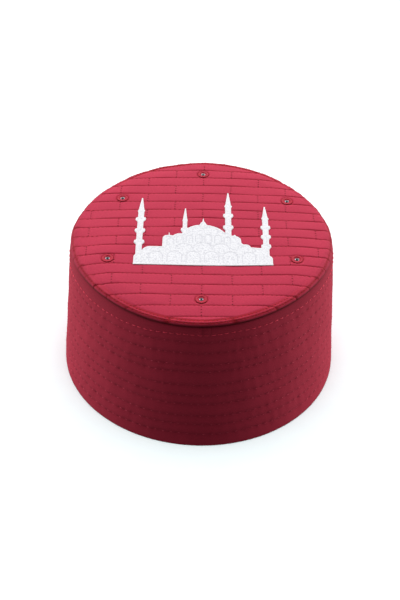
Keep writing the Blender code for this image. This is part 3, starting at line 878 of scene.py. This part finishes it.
# painted seam shade, carried as the seam mark
painted_seam_shade = crown_seam_shade(rows[:, None], over)
quilted_crown = make_piece(
    "quilted_crown", sheets(upper, under), plate_faces(ids, ids + ids.size, kept), [crown_cotton],
    flat_map=sheets(flat_map, flat_map),
    marks={"painted_shade": sheets(painted_shade, painted_shade), "seam": sheets(painted_seam_shade, painted_seam_shade)},
)
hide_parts("crown_panel")

# %% [markdown]
# ## Thread
# A lockstitch shows as a row of short dashes, each dipping into the cloth at both ends where the
# needle went through. They could be one tube with a dotted colour, but then they'd catch the light as
# one line. So each dash is its own small tube of six sides that swells from its ends, and all the
# dashes of a seam are joined in one mesh.


# %% Thread helper and material
MOTIF_CLEARANCE = 0.2 * MM
END_SHARE, END_GROWTH = 0.33, 1.6


def sewing_thread(name, hex_colour):
    """Spun polyester thread: a smooth twist with a slight gloss. Its plies are 0.3 mm apart, drawn
    as a fine noise because they are narrower than a pixel."""
    material, tree, shader = new_material(name)
    plies, tone = uneven(tree, put(tree, "TexCoord").outputs["Object"], 1500.0, 2.0, 0.8, 1.15)
    join(shader, {
        "Base Color": toned(tree, linear(hex_colour)[:3], tone),
        "Normal": relief(tree, plies, 0.3, 0.05 * MM),
        "Roughness": 0.6,
        "Specular IOR Level": 0.35,
    })
    return material


def stitched(name, rows, radius, material, clearance=None):
    """Tubes round rows of paths, each with its outward directions. A tube's ring is its centre plus the
    radius times the cosine of an angle to the side and its sine outwards, and the radius shrinks to a
    third at both ends. Given a clearance, it leaves out dashes that lie on the motif or have their
    middle nearer than that to an eyelet's."""
    paths, outs = [np.concatenate(parts) for parts in zip(*rows)]
    if clearance is not None:
        x, y = paths[:, 2, 0], paths[:, 2, 1]
        seen = (motif_depth(x, y) < MOTIF_CLEARANCE) & (eyelet_distance(x, y) > clearance)
        paths, outs = paths[seen], outs[seen]
    count, steps = paths.shape[:2]
    along = np.gradient(paths, axis=1)
    along /= np.linalg.norm(along, axis=-1, keepdims=True)
    side = np.cross(along, outs)
    side /= np.linalg.norm(side, axis=-1, keepdims=True)
    up = np.cross(side, along)
    angles = np.arange(6)[:, None] * np.pi / 3.0
    swell = END_SHARE + END_GROWTH * np.sin(np.pi * np.linspace(0.0, 1.0, steps))
    swell = radius * np.minimum(1.0, swell)
    ring = side[:, :, None] * np.cos(angles) + up[:, :, None] * np.sin(angles)
    points = paths[:, :, None] + ring * swell[None, :, None, None]
    ids = np.arange(count * steps * 6).reshape(count, steps, 6)
    near = np.stack([ids[:, :-1], np.roll(ids, -1, axis=2)[:, :-1]], -1)
    far = np.stack([np.roll(ids, -1, axis=2)[:, 1:], ids[:, 1:]], -1)
    caps = [ids[:, 0][:, half] for half in ((3, 2, 1, 0), (0, 5, 4, 3))]
    caps += [ids[:, -1][:, half] for half in ((0, 1, 2, 3), (3, 4, 5, 0))]
    faces = np.concatenate([np.concatenate([near, far], -1).reshape(-1, 4)] + caps)
    return make_piece(name, points.reshape(-1, 3), faces, [material])


crown_thread = sewing_thread("dark_crimson_thread", "#98041A")
print("thread ready")

# %% Stitches of the crown
STITCH_PITCH = 3.1 * MM
STITCH_SHARE = 0.8
LINE_END = 0.92
RING_PITCH = 2.4 * MM
RING_SHARE = 0.5
STITCH_SINK = np.array([-0.16, 0.02, 0.08, 0.02, -0.16]) * MM
STITCH_RADIUS = 0.20 * MM
DASH = np.linspace(-0.5, 0.5, 5)


def dashes(total, pitch, share):
    """Where the dashes of one line lie along it: an array of dash by step, centred on the line."""
    count = int(total / pitch)
    starts = (np.arange(count) - (count - 1) / 2.0) * pitch
    return starts[:, None] + (DASH * pitch * share)[None, :]


rows = []
for line_y in LINES:
    theta = np.arcsin(line_y / FLAT_RADIUS)
    chord = FLAT_RADIUS * np.cos(theta)
    along = dashes(2.0 * (chord + ROLL_LENGTH * LINE_END), STITCH_PITCH, STITCH_SHARE)
    down_the_edge = np.sign(along) * (1.0 + (np.abs(along) - chord) / ROLL_LENGTH)
    s = np.where(np.abs(along) <= chord, along / chord, down_the_edge)
    rows.append(crown_skin(theta, s, STITCH_SINK[None, :])[:2])
for ring_place, least in zip(RING_PLACES, RING_LEAST):
    turns = dashes(np.pi * FLAT_RADIUS, RING_PITCH, RING_SHARE) / FLAT_RADIUS
    turns = turns[np.abs(np.sin(turns[:, 2])) >= least]
    for side in (-1.0, 1.0):
        rows.append(crown_skin(turns, ring_place * side, STITCH_SINK[None, :])[:2])
stitched("crown_stitches", rows, STITCH_RADIUS, crown_thread, DISH_RADIUS)

# %% Tacks of the crown
TACK_STITCHES = 4
TACK_LENGTH = 0.65 * MM
TACK_SINK = np.array([-0.14, -0.04, 0.0, -0.04, -0.14]) * MM
TACK_RADIUS = 0.40 * MM
TACK_CLEARANCE = 4.7 * MM
TACK_FROM_EDGE = 2.0 * MM

tack_thread = sewing_thread("deep_crimson_thread", "#9C1630")
rows = []
for line_y in np.append(LINES, LINES[-1] + ROW_SPACING):
    row = int(np.round((line_y - ROW_OFFSET) / ROW_SPACING - 0.5))
    row_y = line_y - ROW_SPACING / 2.0
    reach = np.sqrt(np.maximum(FLAT_RADIUS ** 2 - row_y ** 2, 0.0)) - TACK_FROM_EDGE
    middle, pitch = tack_columns(row_y)
    x = middle + (np.arange(-3, 4) + (0.5 if row % 2 else 0.0)) * pitch
    x = x[np.abs(x) < reach]
    y = line_y - ROW_SPACING * (0.5 + np.arange(TACK_STITCHES)) / TACK_STITCHES
    y = y[np.abs(y) < FLAT_RADIUS - TACK_LENGTH, None] + DASH[None, :] * TACK_LENGTH
    theta = np.arcsin(y / FLAT_RADIUS)
    s = x[:, None, None] / (FLAT_RADIUS * np.cos(theta))[None]
    skin = crown_skin(theta[None] + 0.0 * s, np.clip(s, -1.0, 1.0), TACK_SINK[None, None, :])
    rows.append([part.reshape(-1, len(DASH), 3) for part in skin[:2]])
stitched("crown_tacks", rows, TACK_RADIUS, tack_thread, TACK_CLEARANCE)

# %% [markdown]
# ## The side band
# On the real cap the band is a strip of padded cotton sewn into a ring, quilted in rows of running
# stitch and turned in at the hem. Each stitch pulls the pad into a small dimple. A cloth simulation
# could puff it, but the rows are only a few millimetres apart and the wall is stiff, so the pull of
# every stitch is worked out instead: a valley along the row, a pit at each stitch and low puckers.


# %% The band's skin as a function of two parameters
ROW_SHARES = np.array([0.097, 0.178, 0.253, 0.358, 0.435, 0.524, 0.637, 0.695, 0.787, 0.876, 0.939])
ROW_HEIGHTS = ROW_SHARES * BAND_TOP
ROW_STITCHES = np.array([111, 112, 110, 111, 113, 112, 111, 112, 112, 111, 125])
TOPSTITCH = len(ROW_HEIGHTS) - 1
QUILT_SWELL = 0.2 * MM
SINK_LEFT = 4.8 * MM
SINK_RIGHT = 2.2 * MM
MEAN_RADIUS = 92.0 * MM
JOIN_RADIUS = 87.0 * MM
JOIN_FOLDS = (0.6 * MM, 5.4 * MM)
JOIN_FOLD_HEIGHT = 0.50 * MM
JOIN_FOLD_WIDTH, JOIN_SHADE_WIDTH, JOIN_SHADE_AWAY = 1.0 * MM, 0.8 * MM, 1.6 * MM
WANDER, WANDER_LENGTH = 0.45 * MM, 48.0 * MM
FADE_AT_HEM, FADE_AT_TOP, SINK_GROWTH = 8.0 * MM, 6.0 * MM, 60.0 * MM
PIT_DEPTH, PIT_LENGTH, PIT_WIDTH = 0.36 * MM, 0.95 * MM, 0.65 * MM
# how hard the threads pull, and how much less at the front and on the right
PULL, FRONT_SLACK, RIGHT_SLACK = 0.85, 0.40, 0.15
VALLEY_DEPTH, FRONT_VALLEY, TOP_VALLEY = 0.12 * MM, 0.14 * MM, 0.10 * MM
VALLEY_WIDTH = 1.8 * MM
# shares of painted shade along the valleys: more at the front, and at the topstitch
VALLEY_SHADE, FRONT_SHADE, TOP_SHADE = 0.06, 0.20, 0.10
PUCKER_DEPTH, PUCKER_LENGTH = 0.09 * MM, 6.5 * MM
BILLOW_DEPTH, BILLOW_LENGTH = 0.12 * MM, 30.0 * MM
# heights over which painted shade fades at the seam, for the seam mark and under the seam, and the painted
# shade under the seam, more at the sides
SEAM_LINE_SHADE_HEIGHT, PAINTED_SEAM_HEIGHT, SEAM_SHADE_HEIGHT = 1.0 * MM, 1.4 * MM, 11.0 * MM
SEAM_SHADE, SIDE_SHADE = 0.28, 0.30
EDGE_FADE = 4.0 * MM


def stitch_chances():
    """For every row the number of its stitches, how hard each pulls, how far each strays along the
    row as a share of the pitch, and where the row begins."""
    chance = np.random.default_rng(5)
    rows = []
    for count in ROW_STITCHES:
        force = chance.uniform(0.55, 1.25, count)
        stray = chance.uniform(-0.10, 0.10, count)
        rows.append((count, force, stray, chance.uniform()))
    return rows


ROW_CHANCES = stitch_chances()


def on_the_ring(angle, z):
    """Points of the band taken as an even ring, for ripples that close round it."""
    return np.stack([np.cos(angle) * MEAN_RADIUS, np.sin(angle) * MEAN_RADIUS, z + 0.0 * angle], -1)


def band_radius(angle, z):
    """Outer radius: a straight flare that spreads a little more at the front of the hem, then the
    shoulder's superellipse in to the seam."""
    widest = shoulder_radius(angle)
    facing = np.maximum(0.0, -np.sin(angle - HEM_SPREAD_TURN)) ** 2
    spread = HEM_SPREAD * facing * np.exp(-z / HEM_SPREAD_HEIGHT)
    flare = HEM_RADIUS + (widest - HEM_RADIUS) * z / SHOULDER_BASE + spread
    share = ramp((z - SHOULDER_BASE) / SHOULDER_HEIGHT)
    drop = 1.0 - (1.0 - share ** SHOULDER_FULLNESS) ** (1.0 / SHOULDER_FULLNESS)
    shoulder = widest - (widest - SEAM_RADIUS + SHOULDER_TUCK) * drop
    return np.where(z < SHOULDER_BASE, flare, shoulder)


def band_wave(angle, z):
    """How far a row of stitching strays up or down, because the cloth is guided by hand. Towards the
    sides the upper rows run lower, as the seam does there, and more so on the left."""
    fade = ramp(z / FADE_AT_HEM) * ramp((BAND_TOP - z) / FADE_AT_TOP)
    side = np.cos(angle) ** 2 / (0.2 + 0.8 * np.cos(angle) ** 2)
    sink = np.where(np.cos(angle) < 0.0, SINK_LEFT, SINK_RIGHT) * side * ramp(z / SINK_GROWTH)
    return (WANDER * ripples(on_the_ring(angle, z), WANDER_LENGTH, 21) - sink) * fade


def band_skin(angle, z, lift=0.0):
    """Point of the band's quilted outside at a lift above it, its outward direction, and its painted
    shade. Depth is the sum over the rows of a valley, which fades with the distance from
    the row, and of a pit at every stitch, a bell curve along the row and across it. At the front the
    valleys are deeper and the pits shallower. Low puckers and billows are added, and two folds where
    the band's ends are joined. Pits, valleys, strips beside the folds, the seam and the band under it
    are painted darker, as shade."""
    angle, z = np.broadcast_arrays(angle, z)
    depth = np.zeros(angle.shape)
    painted_shade = np.zeros(angle.shape)
    front = np.maximum(0.0, -np.sin(angle)) ** 3
    pull = PULL - FRONT_SLACK * front - RIGHT_SLACK * np.maximum(0.0, np.cos(angle))
    for index, (count, force, stray, phase) in enumerate(ROW_CHANCES):
        top = index == TOPSTITCH
        place = angle / (2.0 * np.pi) * count + phase
        number = np.floor(place).astype(int) % count
        along = (place - np.floor(place) - 0.5 - stray[number]) * 2.0 * np.pi * MEAN_RADIUS / count
        across = z - ROW_HEIGHTS[index]
        pit = bell(along, PIT_LENGTH) * bell(across, PIT_WIDTH) * force[number] * (0.0 if top else pull)
        valley = np.exp(-np.abs(across / VALLEY_WIDTH) ** 1.4)
        valley_depth = TOP_VALLEY if top else VALLEY_DEPTH + FRONT_VALLEY * front
        valley_shade = TOP_SHADE if top else VALLEY_SHADE + FRONT_SHADE * front
        depth = depth + valley_depth * valley + PIT_DEPTH * pit
        # painted shade: in each pit as deep as the pit, and along the valleys
        painted_shade = np.maximum(painted_shade, np.maximum(pit, valley_shade * valley))
    smooth = on_the_ring(angle, z)
    near_row = np.exp(-np.abs(z[..., None] - ROW_HEIGHTS[:-1]).min(axis=-1) / EDGE_FADE)
    pucker = ripples(smooth * np.array([1.0, 1.0, 0.45]), PUCKER_LENGTH, 31)
    billow = ripples(smooth, BILLOW_LENGTH, 32)
    edge = ramp(z / EDGE_FADE) * ramp((BAND_TOP - z) / EDGE_FADE)
    depth = depth + (PUCKER_DEPTH * pucker * near_row + BILLOW_DEPTH * billow) * edge
    sideways = np.cos(angle) * JOIN_RADIUS
    above = ramp((z - ROW_HEIGHTS[-1] + 1.5 * MM) / (2.0 * MM)) * (np.sin(angle) < 0.0)
    for fold in JOIN_FOLDS:
        depth = depth - JOIN_FOLD_HEIGHT * bell(sideways - fold, JOIN_FOLD_WIDTH) * above
        # painted shade in a strip beside each fold
        shade = bell(sideways - fold - JOIN_SHADE_AWAY, JOIN_SHADE_WIDTH)
        painted_shade = np.maximum(painted_shade, 0.5 * shade * above)
    depth = depth * ramp((BAND_TOP - z) / (0.8 * MM)) - QUILT_SWELL * edge
    # painted shade at the seam, and a wider painted shade under it, more at the sides
    painted_shade = np.maximum(painted_shade, ramp((z - BAND_TOP) / SEAM_LINE_SHADE_HEIGHT + 1.0) * seam_share(angle))
    under_seam_shade = ramp((z - BAND_TOP) / SEAM_SHADE_HEIGHT + 1.0) ** 1.5
    painted_shade = np.maximum(painted_shade, (SEAM_SHADE + SIDE_SHADE * np.cos(angle) ** 2) * under_seam_shade)
    radius = band_radius(angle, z)
    out = np.stack([np.cos(angle), np.sin(angle), 0.0 * z], -1)
    place = out * (radius - depth + lift)[..., None]
    place[..., 2] = z + band_wave(angle, z)
    return leaned(place), out, ramp(painted_shade)


print(len(ROW_HEIGHTS), "rows of stitching,", int(ROW_STITCHES.sum()), "stitches")

# %% Build the band
BAND_COLUMNS = 600
HEM_FULLNESS = 0.45

# the grid's rows lie close at every stitched row, at the hem and under the seam, and else 2 mm apart
offsets = np.array([-2.6, -1.5, -0.8, -0.4, 0.0, 0.4, 0.8, 1.5, 2.6]) * MM
heights = (ROW_HEIGHTS[:, None] + offsets).ravel()
heights = np.concatenate([heights, np.array([1.2, 2.5, 4.0, 5.6]) * MM, np.arange(12.0, 92.0, 2.0) * MM])
heights = np.concatenate([heights, BAND_TOP - np.array([3.0, 2.4, 1.8, 1.3, 0.9, 0.5, 0.2, 0.0]) * MM])
heights = np.sort(heights[(heights > 1.0 * MM) & (heights <= BAND_TOP)])
spread = np.diff(heights, prepend=-1.0)
heights = heights[(spread > 0.25 * MM) | np.isin(heights, ROW_HEIGHTS)][::-1]
heights = heights[np.concatenate([[True], -np.diff(heights) > 0.12 * MM])]
angles = np.linspace(-np.pi / 2.0, 1.5 * np.pi, BAND_COLUMNS + 1)
angles[-1] = angles[0]
outer, _, outer_painted_shade = band_skin(angles[None, :], heights[:, None])
hem_turn = np.linspace(0.0, np.pi, 9)[1:-1]
hem_middle = HEM_RADIUS - BAND_WALL / 2.0
hem_side = np.sign(np.cos(hem_turn)) * np.abs(np.cos(hem_turn)) ** HEM_FULLNESS
hem_radius = hem_middle + (BAND_WALL / 2.0) * hem_side
hem_height = heights[-1] * (1.0 - np.sin(hem_turn) ** HEM_FULLNESS)
inner_top = BAND_TOP - np.array([3.0, 1.2, 0.0]) * MM
inner_height = np.concatenate([[heights[-1]], np.arange(6.0, 92.0, 4.0) * MM, inner_top])
inner_radius = band_radius(angles[None, :], inner_height[:, None]) - BAND_WALL
hem_spread = band_radius(angles, heights[-1]) - HEM_RADIUS
section_radius = np.concatenate([hem_radius[:, None] + hem_spread[None, :], inner_radius])
section_height = np.concatenate([hem_height, inner_height])[:, None] + 0.0 * section_radius
rest = np.stack([np.cos(angles) * section_radius, np.sin(angles) * section_radius, section_height], -1)
shell = np.concatenate([outer, leaned(rest), outer[:1]])
# painted shade only on the outside; the seam mark paints the top of the band darker, as the seam's shade
painted_shade = np.concatenate([outer_painted_shade, np.zeros(rest.shape[:2]), outer_painted_shade[:1]])
painted_seam_shade = ramp((heights - BAND_TOP) / PAINTED_SEAM_HEIGHT + 1.0)[:, None] * seam_share(angles)
seam = np.concatenate([painted_seam_shade, np.zeros(rest.shape[:2]), painted_seam_shade[:1]])
run = np.concatenate([heights, 0.0 * hem_height, inner_height - 0.2, heights[:1]])
turn = np.linspace(0.0, 2.0 * np.pi * MEAN_RADIUS, BAND_COLUMNS + 1)
flat_map = np.stack(np.broadcast_arrays(turn[None, :], run[:, None]), -1) / MAP_SCALE
faces = grid_faces(point_ids(shell)).reshape(-1, 4)
quilted_band = make_piece(
    "quilted_band", shell.reshape(-1, 3), faces, [band_cotton],
    flat_map=flat_map.reshape(-1, 2), marks={"painted_shade": painted_shade.ravel(), "seam": seam.ravel()},
)
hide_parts("side_band")

# %% Stitches of the band
SHORT_STITCH, SHORT_SINK = 1.7 * MM, np.array([-0.15, 0.04, 0.10, 0.04, -0.15]) * MM
LONG_STITCH, LONG_SINK = 3.6 * MM, np.array([-0.15, 0.18, 0.26, 0.18, -0.15]) * MM
BAND_RADIUS, TOP_RADIUS = 0.17 * MM, 0.20 * MM
BESIDE = 0.36
band_thread = sewing_thread("crimson_thread", "#CC3E58")
bright_thread = sewing_thread("light_crimson_thread", "#FF4A66")


def row_of_stitches(index, length, beside, sink):
    """Paths of one row of stitches, each a dash at a share of the pitch beside its dimple."""
    count, _, stray, phase = ROW_CHANCES[index]
    centre = (np.arange(count) + 0.5 + beside + stray - phase) / count * 2.0 * np.pi
    angle = centre[:, None] + DASH[None, :] * length / MEAN_RADIUS
    return band_skin(angle, ROW_HEIGHTS[index], sink[None, :])[:2]


rows = [row_of_stitches(index, SHORT_STITCH, BESIDE, SHORT_SINK) for index in range(TOPSTITCH)]
stitched("band_stitches", rows, BAND_RADIUS, band_thread)
rows = [row_of_stitches(TOPSTITCH, LONG_STITCH, 0.0, LONG_SINK)]
stitched("band_topstitch", rows, TOP_RADIUS, bright_thread)

# %% [markdown]
# ## The embroidered mosque
# On the real cap a machine lays white rayon thread in dense satin along the outline and in a flat
# fill inside, so the motif stands about half a millimetre proud with soft edges. It is kept as a
# plate: a fine grid over the motif's rectangle, cut where the outline leaves it. The points at the
# cut are moved along the slope of the depth inside the outline, so that the edge is smooth and not
# stepped.

# %% Build the embroidery
EMBROIDERY_STEP = 0.32 * MM
SATIN_WIDTH = 1.0 * MM
ARCH_WIDTH = 0.38 * MM
ROUNDING = 0.5 * MM
RIM_PLACE, RIM_WIDTH = 0.7 * MM, 0.5 * MM
FILL_START = 0.4 * MM
SPECKLE_LENGTH = 0.9 * MM
UNDERSIDE = 0.05 * MM
# height in millimetres over the crown, and what each feature adds to it
BASE_LIFT, ROUND_LIFT, RIM_LIFT, FILL_LIFT, SPECKLE_LIFT, ARCH_LIFT = 0.10, 0.26, 0.08, -0.04, 0.06, -0.20

margin = 2.0 * EMBROIDERY_STEP
x = np.arange(-MOTIF_WIDTH / 2.0 - margin, MOTIF_WIDTH / 2.0 + margin, EMBROIDERY_STEP)
y = np.arange(-margin, MOTIF_HEIGHT + margin, EMBROIDERY_STEP)
x, y = np.meshgrid(x, y)
inside = outline_depth(x, y)
slope_y, slope_x = np.gradient(inside, EMBROIDERY_STEP)
kept = cell_means(inside) > 0.0
touching = np.pad(kept, 1)
around = np.stack([touching[:-1, :-1], touching[1:, :-1], touching[:-1, 1:], touching[1:, 1:]])
border = around.any(axis=0) & ~around.all(axis=0)
shift = np.where(border, inside, 0.0)
steepness = np.maximum(slope_x ** 2 + slope_y ** 2, 0.2)
x, y = x - shift * slope_x / steepness, y - shift * slope_y / steepness
inside = np.where(border, 0.0, inside)


def arcade_distance(x, y):
    """Distance to the nearest of the arches drawn inside the motif: to two legs below the spring line,
    and to a half circle above it."""
    nearest = np.full(x.shape, 1.0)
    for middle, half_width, foot, spring in ARCHES:
        dx = np.abs(x - middle * MM)
        arch = np.abs(np.hypot(dx, y - spring * MM) - half_width * MM)
        leg = np.hypot(dx - half_width * MM, np.maximum(foot * MM - y, 0.0))
        nearest = np.minimum(nearest, np.where(y > spring * MM, arch, leg))
    return nearest


rounded = np.sqrt(1.0 - (1.0 - ramp(inside / ROUNDING)) ** 2)
rim = bell(inside - RIM_PLACE, RIM_WIDTH)
fill = ramp((inside - SATIN_WIDTH) / FILL_START)
speckle = ripples(np.stack([x, y, 0.0 * x], -1), SPECKLE_LENGTH, 41)
# the arches are shallow grooves, which the material paints darker as shade
groove = bell(arcade_distance(x, y), ARCH_WIDTH) * fill * ramp(0.8 + 0.5 * speckle)
lift = BASE_LIFT + ROUND_LIFT * rounded + RIM_LIFT * rim + FILL_LIFT * fill
lift = (lift + SPECKLE_LIFT * speckle * fill + ARCH_LIFT * groove) * MM
crown_x, crown_y = on_crown(x, y)
flat = np.stack([crown_x, crown_y, CAP_HEIGHT + crown_dome(crown_x, crown_y)], -1)
above = flat.copy()
above[..., 2] += lift
below = flat.copy()
below[..., 2] += UNDERSIDE
ids = point_ids(x)
flat_map = np.stack([x, y], -1) / MAP_SCALE
mosque_satin = make_piece(
    "mosque_satin", sheets(leaned(above), leaned(below)), plate_faces(ids, ids + ids.size, kept),
    [rayon_embroidery()], flat_map=sheets(flat_map, flat_map),
    marks={"fill": sheets(fill, fill), "groove": sheets(groove, groove)},
)
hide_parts("mosque_embroidery")

# %% [markdown]
# ## The eyelets
# An eyelet is stamped from thin brass: a flange on top, a barrel through the cloth, and an edge that
# is clenched over below. Here the flange is lacquered red down into the funnel and the barrel is
# bare, so it is one turned profile with two finishes, carried round an axis square to the crown.


# %% Eyelet materials
def red_lacquer():
    """Stoved lacquer on stamped metal: an even red with a soft, faint gloss."""
    material, tree, shader = new_material("stoved_red_lacquer")
    peel, tone = uneven(tree, put(tree, "TexCoord").outputs["Object"], 700.0, 1.0, 0.92, 1.06)
    join(shader, {
        "Base Color": toned(tree, linear("#B01633")[:3], tone),
        "Normal": relief(tree, peel, 0.1, 0.05 * MM),
        "Roughness": 0.55,
        "Specular IOR Level": 0.15,
        "Coat Weight": 0.05,
        "Coat Roughness": 0.3,
    })
    return material


def bare_nickel():
    """Nickel-plated brass, drawn through a die: bright, and a little uneven from the drawing."""
    material, tree, shader = new_material("drawn_nickel")
    noise, rough = uneven(tree, put(tree, "TexCoord").outputs["Object"], 1200.0, 2.0, 0.28, 0.42)
    colour = blend(tree, noise, "#7C8086", "#A6AAB0")
    join(shader, {"Base Color": colour, "Roughness": rough, "Metallic": 1.0})
    return material


# %% Turn the eyelets
EYELET_SIDES = 40

# distance from the axis and height over the crown, in millimetres, and the first ring that is bare
EYELET_PROFILE = np.array([
    (3.55, -0.30), (3.78, -0.15), (3.80, 0.00), (3.66, 0.12), (3.35, 0.17), (2.80, 0.17),
    (2.50, 0.10), (2.32, -0.02), (2.14, -0.20), (1.85, -0.27), (1.65, -0.26), (1.45, -0.32),
    (1.00, -0.50), (0.68, -0.80), (0.62, -1.20), (0.90, -3.80), (1.60, -4.10), (3.00, -4.20),
    (3.45, -4.05), (3.50, -3.85), (2.60, -3.82), (2.50, -3.60), (2.50, -0.32),
]) * MM
FIRST_BARE = 11
lacquer, nickel = red_lacquer(), bare_nickel()


def crown_square(x, y):
    """Three directions square to each other at a point of the crown, from its slopes in x and y."""
    step = 0.5 * MM
    spots = [np.array([x + dx, y + dy]) for dx, dy in ((step, 0.0), (-step, 0.0), (0.0, step), (0.0, -step))]
    spots = [leaned(np.array([px, py, CAP_HEIGHT + float(crown_dome(px, py))])) for px, py in spots]
    along = (spots[0] - spots[1]) / np.linalg.norm(spots[0] - spots[1])
    up = np.cross(along, spots[2] - spots[3])
    up /= np.linalg.norm(up)
    return along, np.cross(up, along), up


turns = np.linspace(0.0, 2.0 * np.pi, EYELET_SIDES + 1)
turns[-1] = 0.0
closed_profile = np.concatenate([EYELET_PROFILE, EYELET_PROFILE[:1]])
finish = np.repeat((np.arange(len(EYELET_PROFILE)) >= FIRST_BARE).astype(int), EYELET_SIDES)
for index, (name, _, _) in enumerate(EYELETS):
    x, y = eyelet_x[index], eyelet_y[index]
    along, across, up = crown_square(x, y)
    middle = leaned(np.array([x, y, CAP_HEIGHT + float(crown_dome(x, y))]))
    ring = np.cos(turns)[:, None] * along + np.sin(turns)[:, None] * across
    points = middle + closed_profile[:, None, :1] * ring[None] + closed_profile[:, None, 1:] * up
    faces = grid_faces(point_ids(points)).reshape(-1, 4)
    eyelet = make_piece(name + "_turned", points.reshape(-1, 3), faces, [lacquer, nickel],
                        face_slots=finish)
    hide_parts(name)
